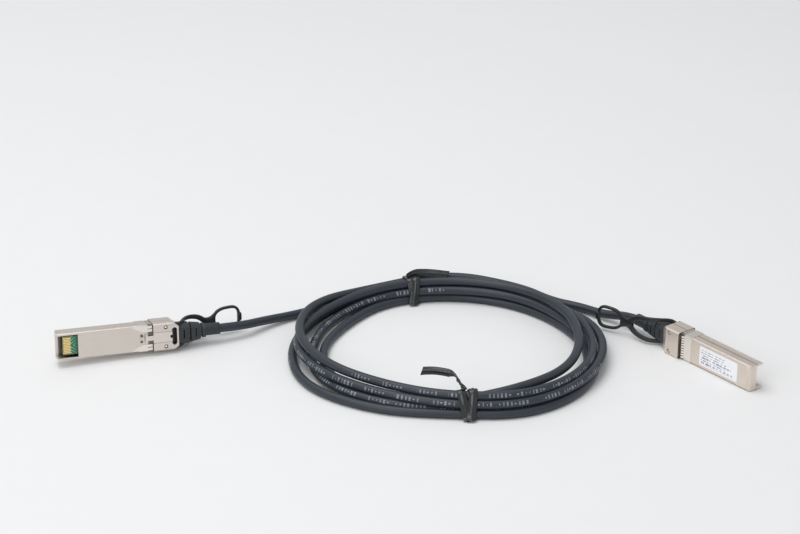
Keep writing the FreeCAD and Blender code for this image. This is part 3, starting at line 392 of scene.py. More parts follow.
scuffed = (scuffs - SCUFF_LEVEL) * SCUFF_CONTRAST
jacket_scuffed = jacket_nodes.blend(scuffed, jacket_clouded, JACKET_SCUFF)
feed(jacket_shader, Base_Color=jacket_nodes.blend(marks, jacket_scuffed, PRINT_GREY))
feed(jacket_shader, Roughness=span(scuffs, low=0.30, high=0.60))
feed(jacket_shader, Normal=bump(jacket_nodes, scuffs, strength=0.12, depth=0.0002))
cable = new_mesh("cable", cable_points, grid_faces(len(cable_path), CABLE_SIDES), jacket)

# Each corner of a face knows its metres along the cable and its share of the way round.
QUAD_CORNERS = 4
cable_uv = cable.data.uv_layers.new(name="along_and_round")
corner_points = np.zeros(len(cable.data.loops), dtype=int)
cable.data.loops.foreach_get("vertex_index", corner_points)
corner_rows = corner_points // CABLE_SIDES
corner_columns = corner_points % CABLE_SIDES
corner_round = corner_columns / CABLE_SIDES
tube_corners = (len(cable_path) - 1) * CABLE_SIDES * QUAD_CORNERS
last_quads = np.arange(tube_corners) // QUAD_CORNERS % CABLE_SIDES == CABLE_SIDES - 1
corner_round[:tube_corners][last_quads & (corner_columns[:tube_corners] == 0)] = 1.0
cable_uv.data.foreach_set("uv", np.stack([cable_metres[corner_rows], corner_round], axis=1).ravel())
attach(cable, "cable_assembly")
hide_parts("cord_coil", "cord_tail_left", "cord_tail_right")


# Ties
# Two flat plastic-covered wire ties, one at the back of the coil and one at the front. Each goes twice
# round the bundle, and its ends are twisted together; one end stands off as a flat tail.
TIE_WIDTH = 0.0044
TIE_SHEET = 0.0007
TIE_RIB = 0.00035
RIB_FOOT = 0.0006
RIB_SHOULDER = 0.0003
SHOULDER_RISE = 0.7


def strip_outline():
    """Section of the flat tie: two thin wings with a round rib over the wire, as across and out."""
    wing = TIE_WIDTH / 2
    half = TIE_SHEET / 2
    shoulder = (-RIB_SHOULDER, half + SHOULDER_RISE * TIE_RIB)
    upper = [(-wing, 0), (-wing + half, half), (-RIB_FOOT, half), shoulder]
    crest = [(0.0, half + TIE_RIB)]
    upper_right = [(-across, out) for across, out in reversed(upper)]
    lower = [(wing - half, -half), (-wing + half, -half)]
    return np.array(upper + crest + upper_right + lower)[::-1]


MOST_TURNS = 12


def strand_places(angle):
    """Where the cable's turns cross one direction from the coil's middle, as outwards and up."""
    offset = cable_path - np.array([*COIL_CENTRE, 0.0])
    swept = -np.unwrap(np.arctan2(offset[:, 1], offset[:, 0]))
    turns = np.arange(-MOST_TURNS, MOST_TURNS) * math.tau - angle
    turns = turns[(turns > swept[0]) & (turns < swept[-1])]
    outward = np.interp(turns, swept, np.hypot(offset[:, 0], offset[:, 1]))
    return np.stack([outward, np.interp(turns, swept, offset[:, 2])], axis=1)


WRAP_STEPS = 72
FOLD_SLACK = 0.0024
FOLD_POWER = 10


def tie_wrap(angle, lift, top_shift, bottom_shift, fold_side):
    """The strip's section carried round the hull of the turns: at each direction the furthest turn's
    centre plus its radius, leaning along the cable from a shift at the top to one at the bottom, with a
    fold that stands off towards one side."""
    places = strand_places(angle)
    direction = np.arange(WRAP_STEPS) * math.tau / WRAP_STEPS
    normal = np.stack([np.cos(direction), np.sin(direction)], axis=1)
    furthest = np.argmax(normal @ places.T, axis=1)
    facing = np.cos(direction - math.radians(fold_side))
    slack = FOLD_SLACK * np.clip(facing, 0, 1) ** FOLD_POWER
    line = places[furthest] + normal * (CABLE_RADIUS + lift + slack)[:, None]
    line[:, 1] = np.maximum(line[:, 1], TIE_SHEET / 2 + TIE_RIB + lift)
    share = (line[:, 1] - line[:, 1].min()) / np.ptp(line[:, 1])
    shift = bottom_shift + (top_shift - bottom_shift) * share
    outward = np.array([math.cos(angle), math.sin(angle), 0.0])
    along = np.array([-math.sin(angle), math.cos(angle), 0.0])
    upward = np.array([0.0, 0.0, 1.0])
    centre = np.array([*COIL_CENTRE, 0.0]) + line[:, :1] * outward + line[:, 1:] * upward
    centre = centre + shift[:, None] * along
    normal_3d = normal[:, :1] * outward + normal[:, 1:] * upward
    section = strip_outline()
    return centre[:, None] + section[None, :, :1] * along + section[None, :, 1:] * normal_3d[:, None]


CUT_SLANT = -0.4
TAIL_LINE_STEPS = 12


def tie_tail(points, twists, widths):
    """The strip's section carried along a smooth line, with an angle about it and a width that run
    through the given ones, and its free end cut at a slant."""
    line = smooth_line("tail_line", np.array(points), TAIL_LINE_STEPS)
    along, across, above = level_frames(line)
    share = np.linspace(0, 1, len(line))
    turned = np.radians(np.interp(share, np.linspace(0, 1, len(twists)), twists))[:, None]
    wide = across * np.cos(turned) + above * np.sin(turned)
    thick = above * np.cos(turned) - across * np.sin(turned)
    wide *= np.interp(share, np.linspace(0, 1, len(widths)), widths)[:, None]
    section = strip_outline()
    rows = line[:, None] + section[None, :, :1] * wide[:, None] + section[None, :, 1:] * thick[:, None]
    rows[-1] += CUT_SLANT * section[:, :1] * along[-1]
    return rows


WRAP_LIFTS = (TIE_SHEET / 2, TIE_SHEET)


def tie_sweeps(angle, wraps, tail):
    """The two wraps of a tie, the second one over the first, and its tail."""
    sweeps = [(tie_wrap(angle, lift, *wrap), True) for lift, wrap in zip(WRAP_LIFTS, wraps)]
    return sweeps + [(tie_tail(*tail), False)]


def join_sweeps(sweeps):
    """Points and faces of several swept sections, each with the word whether its ends are joined."""
    points = []
    faces = []
    count = 0
    for rows, closed in sweeps:
        for face in grid_faces(rows.shape[0], rows.shape[1], closed):
            faces.append([corner + count for corner in face])
        points.append(rows.reshape(-1, 3))
        count += rows.shape[0] * rows.shape[1]
    return np.concatenate(points), faces


# For each wrap, its shift along the cable at the top and at the bottom, and where its fold stands off.
FRONT_TIE_ANGLE = math.radians(277.0)
FRONT_WRAPS = [(-0.0031, -0.0006, -40.0), (0.0026, 0.0009, -32.0)]
FRONT_TAIL = [
    (0.0276, -0.0618, 0.0134),
    (0.0260, -0.0592, 0.0144),
    (0.0244, -0.0545, 0.0147),
    (0.0233, -0.0508, 0.0152),
    (0.0200, -0.0482, 0.0155),
    (0.0122, -0.0457, 0.0155),
    (0.0074, -0.0458, 0.0150),
]
FRONT_TWISTS = [0.0, 120.0, 250.0, 350.0, 425.0, 430.0, 420.0]
FRONT_WIDTHS = [0.6, 0.4, 0.4, 0.5, 0.86, 0.88, 0.88]
REAR_TIE_ANGLE = math.radians(106.0)
REAR_WRAPS = [(0.0012, 0.0002, 220.0), (-0.0016, 0.0010, 212.0)]
REAR_TAIL = [
    (0.0002, 0.0660, 0.0140),
    (0.0030, 0.0694, 0.0141),
    (0.0110, 0.0703, 0.0138),
    (0.0165, 0.0704, 0.0134),
    (0.0213, 0.0704, 0.0129),
]
REAR_TWISTS = [-84.0, -68.0, -54.0, -52.0, -50.0]
REAR_WIDTHS = [0.6, 1.0, 1.05, 1.0, 0.95]
TIE_DARK = (0.012, 0.014, 0.016, 1)
TIE_PALE = (0.030, 0.032, 0.035, 1)

tie_black, tie_shader, tie_nodes = new_finish("tie_plastic", Specular_IOR_Level=0.55)
tie_haze = noise(tie_nodes, scale=700.0, detail=3.0)
feed(tie_shader, Base_Color=tie_nodes.blend(tie_haze, TIE_DARK, TIE_PALE))
feed(tie_shader, Roughness=span(tie_haze, low=0.12, high=0.42))

front_sweeps = tie_sweeps(FRONT_TIE_ANGLE, FRONT_WRAPS, (FRONT_TAIL, FRONT_TWISTS, FRONT_WIDTHS))
rear_sweeps = tie_sweeps(REAR_TIE_ANGLE, REAR_WRAPS, (REAR_TAIL, REAR_TWISTS, REAR_WIDTHS))
for tie_name, sweeps in (("front_tie", front_sweeps), ("rear_tie", rear_sweeps)):
    tie = new_mesh(tie_name + "_strip", *join_sweeps(sweeps), tie_black)
    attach(tie, "cable_assembly")
    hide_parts(tie_name)


# Housing shells
# Two halves of nickel-plated die-cast zinc, satin from the mould and brighter along the edges, partly
# from wear and partly as a painted highlight, held by two rivets. Painted shade darkens the hollow inside
# and the pits beside the lock post, and painted shade mixed with grime darkens the skin under the spring
# fingers and the seam groove.
SIDES = ("left", "right")
MODULE_PLACES = {
    "left": ((-0.17045, -0.0123, 0.01014), 19.8, 2.0, -9.0),
    "right": ((0.1681, -0.0326, 0.0070), 129.0, 0.0, 0.0),
}


def module_matrix(side):
    """From a module's own frame to the shared one: on its narrow side, then turned to its heading."""
    place, heading, tip, lean = MODULE_PLACES[side]
    turn = Matrix.Rotation(math.radians(heading), 4, "Z")
    slope = Matrix.Rotation(math.radians(tip), 4, "Y")
    roll = Matrix.Rotation(math.radians(lean - 90), 4, "X")
    return np.array(Matrix.Translation(place) @ turn @ slope @ roll)


def own_place(nodes, side):
    """A surface point's places along, across and up in its module's own frame, in metres."""
    matrix = module_matrix(side)
    spot = nodes.add("TexCoord", out=3)
    places = []
    for axis in range(3):
        direction = matrix[:3, axis]
        dot = nodes.add("VectorMath", {0: spot, 1: direction.tolist()}, out=1, operation="DOT_PRODUCT")
        places.append(dot - float(direction @ matrix[:3, 3]))
    return places


def between(value, low, high):
    """One where the value lies between two others."""
    return (value > low) * (value < high)


EDGE_START = 0.99
EDGE_END = 0.80


def edge_mask(nodes, radius):
    """One at a sharp edge and nought on a flat: how far a rounded normal leaves the true one."""
    rounded = nodes.add("Bevel", {"Radius": radius}, samples=4)
    true = nodes.add("NewGeometry", out=1)
    dot = nodes.add("VectorMath", {0: rounded, 1: true}, out=1, operation="DOT_PRODUCT")
    return ramp(nodes, dot, start=EDGE_START, end=EDGE_END)


WELD_DISTANCE = 2e-6
ROUNDED_ANGLE = math.radians(28.0)


def soften(node, width):
    """Joins a carried-over mesh's triangles and rounds its sharp edges."""
    weld = node.modifiers.new("join", "WELD")
    weld.merge_threshold = WELD_DISTANCE
    bevel = node.modifiers.new("edges", "BEVEL")
    bevel.width = width
    bevel.segments = 2
    bevel.limit_method = "ANGLE"
    bevel.angle_limit = ROUNDED_ANGLE
    bevel.use_clamp_overlap = False
    bevel.harden_normals = True


def dress(node_name, material, edge=None):
    """Gives a carried-over node its finish and, where asked, rounded edges."""
    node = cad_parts[node_name]
    node.data.materials.clear()
    node.data.materials.append(material)
    if edge:
        soften(node, edge)


SHELL_EDGE = 0.00011
SHELL_TINTS = {
    "left": ((0.690, 0.625, 0.560, 1), (0.790, 0.725, 0.660, 1)),
    "right": ((0.700, 0.620, 0.545, 1), (0.800, 0.720, 0.640, 1)),
}
WORN_AND_HIGHLIGHT_TINT = (0.88, 0.84, 0.79, 1)
SPECKLE_TINT = (0.30, 0.27, 0.24, 1)
PAINTED_SHADE_AND_GRIME_TINT = (0.085, 0.075, 0.065, 1)
WORN_AND_HIGHLIGHT_WIDTH = 0.0003
WORN_AND_HIGHLIGHT_STRENGTH = 0.5
SPECKLE_LEVEL = 0.70
SPECKLE_STRENGTH = 0.22
HOLLOW_HALF_WIDTH = 0.00575
HOLLOW_UP = (-0.00325, 0.0031)
HOLLOW_START = 0.0010
HOLLOW_DARKEST = 0.0050
FINGERS_START = 0.0446
FINGERS_FULL = 0.0455
FINGERS_END = 0.0476
SEAM_UP = (-0.00028, 0.00003)
SEAM_OFF_MIDDLE = 0.0060
SEAM_STRENGTH = 0.9
PIT_ALONG = (0.0412, 0.0425)
PIT_OFF_MIDDLE = (0.0009, 0.0022)
PIT_TOP = -0.0036
PIT_STRENGTH = 0.8
SHELL_ROUGHNESS = 0.24
HAZE_ROUGHNESS = 0.16
GRAIN_ROUGHNESS = 0.10

for side in SIDES:
    nickel, nickel_shader, nickel_nodes = new_finish(side + "_satin_nickel", Metallic=0.9)
    along, across, up = own_place(nickel_nodes, side)
    off_middle = nickel_nodes.math("ABSOLUTE", across)
    haze = noise(nickel_nodes, scale=150.0, detail=4.0)
    grain = noise(nickel_nodes, scale=5200.0, detail=2.0)
    spots = noise(nickel_nodes, scale=900.0, detail=3.0)
    # Painted highlight: sharp edges are brightened, mixed with spotty wear of the plating.
    worn_and_highlight = edge_mask(nickel_nodes, WORN_AND_HIGHLIGHT_WIDTH) * spots * WORN_AND_HIGHLIGHT_STRENGTH
    # Painted shade: the hollow gets darker the deeper in, and the pits beside the lock post are dark. The
    # skin under the spring fingers and the seam groove get painted shade mixed with grime.
    hollow = (off_middle < HOLLOW_HALF_WIDTH) * between(up, *HOLLOW_UP) * (along > HOLLOW_START)
    deep = ramp(nickel_nodes, along, HOLLOW_START, HOLLOW_DARKEST, low=0.25, high=0.85)
    under_fingers = ramp(nickel_nodes, along, FINGERS_START, FINGERS_FULL, high=0.85)
    pits = between(along, *PIT_ALONG) * between(off_middle, *PIT_OFF_MIDDLE) * (up < PIT_TOP)
    seam = between(up, *SEAM_UP) * (off_middle > SEAM_OFF_MIDDLE) * SEAM_STRENGTH
    painted_shade_and_grime = nickel_nodes.math("MAXIMUM", hollow * deep, under_fingers * (along < FINGERS_END))
    painted_shade_and_grime = nickel_nodes.math("MAXIMUM", painted_shade_and_grime, pits * PIT_STRENGTH)
    painted_shade_and_grime = nickel_nodes.math("MAXIMUM", painted_shade_and_grime, seam)
    plated = nickel_nodes.blend(haze, *SHELL_TINTS[side])
    plated_worn_and_highlighted = nickel_nodes.blend(worn_and_highlight, plated, WORN_AND_HIGHLIGHT_TINT)
    speckles = (spots > SPECKLE_LEVEL) * SPECKLE_STRENGTH
    speckled = nickel_nodes.blend(speckles, plated_worn_and_highlighted, SPECKLE_TINT)
    feed(nickel_shader, Base_Color=nickel_nodes.blend(painted_shade_and_grime, speckled, PAINTED_SHADE_AND_GRIME_TINT))
    matt = haze * HAZE_ROUGHNESS + grain * GRAIN_ROUGHNESS + SHELL_ROUGHNESS
    feed(nickel_shader, Roughness=matt)
    feed(nickel_shader, Normal=bump(nickel_nodes, grain, strength=0.10, depth=0.00005))
    dress(side + "_top_shell", nickel, SHELL_EDGE)
    dress(side + "_bottom_shell", nickel, SHELL_EDGE)


# Grounding collars
# Thin polished spring steel, stamped and folded round the body, with fine rolling lines along it.
COLLAR_EDGE = 0.00004
ROLLED_CELLS = (300.0, 6000.0, 6000.0)
SPRING_DARK = (0.76, 0.71, 0.65, 1)
SPRING_BRIGHT = (0.90, 0.86, 0.80, 1)


def streaks(nodes, side, cells):
    """Noise with so many cells a metre along, across and up in the module's own frame."""
    places = own_place(nodes, side)
    scaled = [place * count for place, count in zip(places, cells)]
    stretched = nodes.add("CombineXYZ", dict(enumerate(scaled)))
    return noise(nodes, scale=1.0, detail=3.0, vector=stretched)


for side in SIDES:
    spring, spring_shader, spring_nodes = new_finish(side + "_spring_steel", Metallic=1.0)
    rolled = streaks(spring_nodes, side, ROLLED_CELLS)
    feed(spring_shader, Base_Color=spring_nodes.blend(rolled, SPRING_DARK, SPRING_BRIGHT))
    feed(spring_shader, Roughness=span(rolled, low=0.14, high=0.32))
    dress(side + "_emi_collar", spring, COLLAR_EDGE)


# Latch sliders
# Stamped nickel plate with a brushed face, which slides in a channel of the lower shell.
SLIDER_EDGE = 0.0001
BRUSHED_CELLS = (400.0, 9000.0, 400.0)
PLATE_DARK = (0.70, 0.64, 0.58, 1)
PLATE_BRIGHT = (0.84, 0.78, 0.71, 1)

for side in SIDES:
    plate, plate_shader, plate_nodes = new_finish(side + "_latch_plate", Metallic=0.95)
    brushed = streaks(plate_nodes, side, BRUSHED_CELLS)
    feed(plate_shader, Base_Color=plate_nodes.blend(brushed, PLATE_DARK, PLATE_BRIGHT))
    feed(plate_shader, Roughness=span(brushed, low=0.24, high=0.44))
    dress(side + "_latch_slider", plate, SLIDER_EDGE)


# Pull tabs
# One moulded piece of black nylon each: a bar behind the latch slider, two bowed arms that pass round the
# boot and meet in a web, and a thin ring, narrow at the web, with a grip pad for a finger.
TAB_SWAY = {"left": -0.0025, "right": -0.0008}
TAB_TILT = {"left": 4.0, "right": 20.0}
ARM_SHIFT = {"left": 0.0, "right": -0.0010}
SHIFT_AT_WEB = 0.6
WEB_PLACE = {"left": 0.0786, "right": 0.0815}
WEB_UP = 0.0074
SECTION_STEPS = 16
ROUND_SQUARE = 4.0
FLAT_SQUARE = 5.0
LENGTHWISE = np.array([1.0, 0.0, 0.0])
SIDEWAYS = np.array([0.0, 1.0, 0.0])
UPWARDS = np.array([0.0, 0.0, 1.0])


def placed(points, side):
    """Points of a module's own frame in the shared frame."""
    matrix = module_matrix(side)
    return points @ matrix[:3, :3].T + matrix[:3, 3]


def signed_power(value, power):
    """A value's size raised to a power, with its sign kept."""
    return np.sign(value) * np.abs(value) ** power


def soft_bar(line, wide, thick, half_wide, half_thick, square):
    """A rounded box section carried along a line: a superellipse, squarer for a larger exponent."""
    angle = np.arange(SECTION_STEPS) * math.tau / SECTION_STEPS
    across = signed_power(np.cos(angle), 2 / square)[None, :, None]
    out = signed_power(np.sin(angle), 2 / square)[None, :, None]
    half_wide = np.broadcast_to(half_wide, len(line))[:, None, None]
    half_thick = np.broadcast_to(half_thick, len(line))[:, None, None]
    wide = np.broadcast_to(wide, line.shape)[:, None]
    thick = np.broadcast_to(thick, line.shape)[:, None]
    return line[:, None] + half_wide * across * wide + half_thick * out * thick


def along_frames(line, hint):
    """Two directions square to a line: one nearest to a hint, and one square to that."""
    along = np.gradient(line, axis=0)
    along /= np.linalg.norm(along, axis=1, keepdims=True)
    thick = np.cross(along, hint)
    thick /= np.linalg.norm(thick, axis=1, keepdims=True)
    return np.cross(thick, along), thick


def ring_frame(side):
    """The web's end, and the ring plane's directions forwards and upwards."""
    tilt = math.radians(TAB_TILT[side])
    forward = np.array([math.cos(tilt), 0.0, math.sin(tilt)])
    upward = np.array([-math.sin(tilt), 0.0, math.cos(tilt)])
    return np.array([WEB_PLACE[side], TAB_SWAY[side], WEB_UP]), forward, upward


# An arm's points: along, off the middle, up, and their shares of the arm's shift and of the ring's sway.
# The first ones are measured along from the module's own origin, and the others from the web.
ARM_FROM_PLUG = np.array([
    (0.0575, 0.0050, -0.0041, 0.0, 0.0),
    (0.0602, 0.0055, -0.0041, 0.0, 0.0),
    (0.0622, 0.0057, -0.0028, 0.6, 0.0),
    (0.0652, 0.0058, 0.0028, 1.0, 0.0),
    (0.0692, 0.0057, 0.0062, 1.0, 0.0),
])
ARM_FROM_WEB = np.array([
    (-0.0046, 0.0044, 0.0069, SHIFT_AT_WEB, 0.2),
    (-0.0010, 0.0008, 0.0072, 0.0, 0.4),
    (0.0024, 0.0004, WEB_UP, 0.0, 1.0),
])
ARM_LINE_STEPS = 10
ARM_HALF_WIDE = 0.00075
ARM_WIDENS = 0.0009
ARM_HALF_THICK = 0.00055
ARM_THICKENS = 0.0003


def tab_arm(side, sign):
    """One arm: out of the block beside the bar, bowed outwards and up, to the web."""
    from_web = ARM_FROM_WEB + np.array([WEB_PLACE[side], 0, 0, 0, 0])
    along, off_middle, up, shift, sway = np.concatenate([ARM_FROM_PLUG, from_web]).T
    across = sign * off_middle + shift * ARM_SHIFT[side] + sway * TAB_SWAY[side]
    line = smooth_line("arm_line", np.stack([along, across, up], axis=1), ARM_LINE_STEPS)
    wide, thick = along_frames(line, SIDEWAYS)
    share = np.linspace(0, 1, len(line))
    half_wide = ARM_HALF_WIDE + ARM_WIDENS * share ** 2
    return soft_bar(line, wide, thick, half_wide, ARM_HALF_THICK + ARM_THICKENS * share, ROUND_SQUARE)


RING_STEPS = 96
RING_POWER = 0.72
RING_MIDDLE = 0.0100
RING_HALF_LENGTH = 0.0066
RING_HALF_WIDTH = 0.0063
RING_NARROWS = 0.16
RIM_HALF_WIDE = 0.0007
RIM_HALF_THICK = 0.00085


def tab_ring(side):
    """The ring: a rounded loop that widens away from the web, in a plane that tilts off the cable."""
    origin, forward, upward = ring_frame(side)
    angle = np.arange(RING_STEPS) * math.tau / RING_STEPS
    reach = RING_MIDDLE + RING_HALF_LENGTH * signed_power(np.cos(angle), RING_POWER)
    narrowed = 1 - RING_NARROWS + RING_NARROWS * np.cos(angle)
    across = RING_HALF_WIDTH * signed_power(np.sin(angle), RING_POWER) * narrowed
    line = origin + reach[:, None] * forward + across[:, None] * SIDEWAYS
    along = np.roll(line, -1, axis=0) - np.roll(line, 1, axis=0)
    along /= np.linalg.norm(along, axis=1, keepdims=True)
    return soft_bar(line, np.cross(upward, along), upward, RIM_HALF_WIDE, RIM_HALF_THICK, ROUND_SQUARE)


WEB_STEPS = 18
WEB_START = -0.0029
WEB_LENGTH = 0.0068
WEB_SLOPE = 0.09
WEB_HALF_WIDE = 0.0015
WEB_WIDENS = 0.0021
WEB_POWER = 1.6
WEB_HALF_THICK = 0.00083


def tab_web(side):
    """The web between the arms and the ring: a flat tongue that narrows towards the arms."""
    origin, forward, _ = ring_frame(side)
    share = np.linspace(0, 1, WEB_STEPS)
    reach = WEB_START + WEB_LENGTH * share
    before = np.minimum(reach, 0)
    line = origin + np.maximum(reach, 0)[:, None] * forward
    line += before[:, None] * (LENGTHWISE + WEB_SLOPE * UPWARDS)
    line[:, 1] = ARM_SHIFT[side] * SHIFT_AT_WEB * (1 - share) + TAB_SWAY[side] * share
    half_wide = WEB_HALF_WIDE + WEB_WIDENS * share ** WEB_POWER
    return soft_bar(line, SIDEWAYS, UPWARDS, half_wide, WEB_HALF_THICK, FLAT_SQUARE)


GRIP_STEPS = 13
GRIP_PLACE = 0.0169
GRIP_HALF = 0.0024
GRIP_HALF_WIDE = 0.0010
GRIP_HALF_THICK = 0.0014
GRIP_END = 0.03


def tab_grip(side):
    """The grip on the ring's far end: a short pad across it, thicker than the rim, whose size falls off
    as the root of one less the fourth power of the way to its ends."""
    origin, forward, upward = ring_frame(side)
    across = np.linspace(-GRIP_HALF, GRIP_HALF, GRIP_STEPS)
    swell = np.sqrt(np.clip(1 + GRIP_END - (across / GRIP_HALF) ** 4, GRIP_END, 1))
    line = origin + GRIP_PLACE * forward + across[:, None] * SIDEWAYS
    return soft_bar(line, forward, upward, GRIP_HALF_WIDE * swell, GRIP_HALF_THICK * swell, ROUND_SQUARE)


SLOT_BAR_STEPS = 25
SLOT_BAR_PLACE = 0.0575
SLOT_BAR_HALF = 0.0056
SLOT_BAR_HALF_WIDE = 0.0004
DEEP_HALF = 0.0034
DEEP_UP = -0.00445
DEEP_HALF_THICK = 0.0008
END_UP = -0.00405
END_HALF_THICK = 0.0004


def tab_bar():
    """The bar in the slot behind the slider, from arm to arm, deeper in the middle."""
    across = np.linspace(-SLOT_BAR_HALF, SLOT_BAR_HALF, SLOT_BAR_STEPS)
    middle = np.abs(across) < DEEP_HALF
    up = np.where(middle, DEEP_UP, END_UP)
    line = np.stack([np.full(SLOT_BAR_STEPS, SLOT_BAR_PLACE), across, up], axis=1)
    half_thick = np.where(middle, DEEP_HALF_THICK, END_HALF_THICK)
    return soft_bar(line, LENGTHWISE, UPWARDS, SLOT_BAR_HALF_WIDE, half_thick, FLAT_SQUARE)


NYLON_DARK = (0.010, 0.013, 0.015, 1)
NYLON_PALE = (0.021, 0.025, 0.028, 1)

nylon, nylon_shader, nylon_nodes = new_finish("tab_nylon", Specular_IOR_Level=0.5)
nylon_haze = noise(nylon_nodes, scale=260.0, detail=4.0)
nylon_grain = noise(nylon_nodes, scale=6000.0, detail=2.0)
feed(nylon_shader, Base_Color=nylon_nodes.blend(nylon_haze, NYLON_DARK, NYLON_PALE))
feed(nylon_shader, Roughness=span(nylon_haze, low=0.28, high=0.53))
feed(nylon_shader, Normal=bump(nylon_nodes, nylon_grain, strength=0.15, depth=0.00005))
for side in SIDES:
    sweeps = [
        (tab_arm(side, 1), False),
        (tab_arm(side, -1), False),
        (tab_ring(side), True),
        (tab_web(side), False),
        (tab_grip(side), False),
        (tab_bar(), False),
    ]
    tab_points, tab_faces = join_sweeps(sweeps)
    tab = new_mesh(side + "_tab", placed(tab_points, side), tab_faces, nylon)
    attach(tab, side + "_latch")
    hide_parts(side + "_pull_tab")


# Edge cards
# Glass-fibre board under green mask, with a copper trace behind each pad that shows lighter through it,
# gold-plated pads, and small parts soldered behind them: capacitors with tinned ends and a resin chip.
CARD_END = 0.00304
PAD_END = 0.0066
TRACE_START = 0.0068
TRACE_STEP = 0.0016
TRACE_HALF_SHARE = 0.13
FAN_START = 0.0070
FAN_SLOPE = 0.7
FADE_START = 0.0074
FADE_END = 0.0098
MASK_DARK = (0.015, 0.160, 0.082, 1)
MASK_PALE = (0.033, 0.222, 0.122, 1)
TRACE_GREEN = (0.42, 0.58, 0.42, 1)
PAD_GLOW = (0.50, 0.36, 0.12, 1)
GLOW_STRENGTH = 0.65
CUT_GLASS = (0.40, 0.36, 0.20, 1)
CUT_STRENGTH = 0.8
WIPED_CELLS = (250.0, 7000.0, 0.0)
GOLD_DARK = (0.86, 0.58, 0.21, 1)
GOLD_BRIGHT = (1.00, 0.80, 0.41, 1)
PART_EDGE = 0.00004
CAPACITOR_PLACE = 0.0115
CAPACITOR_BARE_HALF = 0.00027
CHIP_START = 0.013
CERAMIC_DARK = (0.34, 0.24, 0.15, 1)
CERAMIC_PALE = (0.44, 0.32, 0.21, 1)
TIN_GREY = (0.70, 0.70, 0.70, 1)
RESIN_DARK = (0.012, 0.012, 0.013, 1)
RESIN_PALE = (0.030, 0.030, 0.032, 1)

for side in SIDES:
    board_green, card_shader, card_nodes = new_finish(side + "_card_mask", Roughness=0.32)
    along, across, _ = own_place(card_nodes, side)
    weave = noise(card_nodes, scale=1400.0, detail=3.0)
    fanned = card_nodes.math("ABSOLUTE", across) - (along - FAN_START) * FAN_SLOPE
    off_trace = card_nodes.math("ABSOLUTE", card_nodes.math("FRACT", fanned * (1 / TRACE_STEP)) - 0.5)
    trace = (off_trace < TRACE_HALF_SHARE) * (along > TRACE_START)
    shown = ramp(card_nodes, along, FADE_START, FADE_END, low=0.85, high=0.15)
    mask_green = card_nodes.blend(weave, MASK_DARK, MASK_PALE)
    traced = card_nodes.blend(trace * shown, mask_green, TRACE_GREEN)
    between_pads = between(along, CARD_END, PAD_END) * GLOW_STRENGTH
    glowing = card_nodes.blend(between_pads, traced, PAD_GLOW)
    cut_edge = (along < CARD_END) * CUT_STRENGTH
    feed(card_shader, Base_Color=card_nodes.blend(cut_edge, glowing, CUT_GLASS))
    dress(side + "_paddle_card", board_green)

    gold, gold_shader, gold_nodes = new_finish(side + "_contact_gold", Metallic=1.0)
    wiped = streaks(gold_nodes, side, WIPED_CELLS)
    feed(gold_shader, Base_Color=gold_nodes.blend(wiped, GOLD_DARK, GOLD_BRIGHT))
    feed(gold_shader, Roughness=span(wiped, low=0.16, high=0.41))
    dress(side + "_gold_contacts", gold)

    parts, parts_shader, parts_nodes = new_finish(side + "_card_parts", Roughness=0.45)
    along, _, _ = own_place(parts_nodes, side)
    pores = noise(parts_nodes, scale=2500.0, detail=2.0)
    ceramic = parts_nodes.blend(pores, CERAMIC_DARK, CERAMIC_PALE)
    ends = parts_nodes.math("ABSOLUTE", along - CAPACITOR_PLACE) > CAPACITOR_BARE_HALF
    tinned = parts_nodes.blend(ends, ceramic, TIN_GREY)
    resin = parts_nodes.blend(pores, RESIN_DARK, RESIN_PALE)
    feed(parts_shader, Base_Color=parts_nodes.blend(along > CHIP_START, tinned, resin))
    dress(side + "_card_components", parts, PART_EDGE)


# Leads and ferrules
# Flat pairs under a spiral wrap of bright foil, and a crimped hexagon of plated brass with press marks.
LEAD_EDGE = 0.00008
FOIL_STEP = 0.0018
FOIL_LEAN = 0.8
FOIL_OVERLAP = 0.12
FOIL_BRIGHT = (0.80, 0.79, 0.77, 1)
FOIL_DARK = (0.45, 0.44, 0.42, 1)
FERRULE_EDGE = 0.0001
PRESS_STEP = 0.0023
BRASS_DARK = (0.48, 0.42, 0.30, 1)
BRASS_BRIGHT = (0.74, 0.68, 0.54, 1)

for side in SIDES:
    foil, foil_shader, foil_nodes = new_finish(side + "_lead_foil", Metallic=1.0)
    along, across, _ = own_place(foil_nodes, side)
    wrap_share = foil_nodes.math("FRACT", (along + across * FOIL_LEAN) * (1 / FOIL_STEP))
    overlap = wrap_share < FOIL_OVERLAP
    feed(foil_shader, Base_Color=foil_nodes.blend(overlap, FOIL_BRIGHT, FOIL_DARK))
    feed(foil_shader, Roughness=span(wrap_share, low=0.22, high=0.37))
    dress(side + "_twinax_leads", foil, LEAD_EDGE)

    brass, brass_shader, brass_nodes = new_finish(side + "_crimp_brass", Metallic=1.0)
    along, _, _ = own_place(brass_nodes, side)
    press_share = brass_nodes.math("FRACT", along * (1 / PRESS_STEP))
    pressed = brass_nodes.math("ABSOLUTE", press_share - 0.5) * 2.0
    feed(brass_shader, Base_Color=brass_nodes.blend(pressed, BRASS_DARK, BRASS_BRIGHT))
    feed(brass_shader, Roughness=span(pressed, low=0.22, high=0.42))
    dress(side + "_crimp_ferrule", brass, FERRULE_EDGE)


# Strain reliefs
# Moulded black rubber, matt, in ribs that let it bend, paler along the edges of the ribs, partly from
# rubbing and partly as a painted highlight.
BOOT_EDGE = 0.00012
RUBBED_AND_HIGHLIGHT_WIDTH = 0.0006
MOULD_RADIUS = 0.0004
RUBBER_DARK = (0.020, 0.026, 0.030, 1)
RUBBER_PALE = (0.040, 0.047, 0.052, 1)
RUBBED_AND_HIGHLIGHT_TINT = (0.085, 0.095, 0.100, 1)

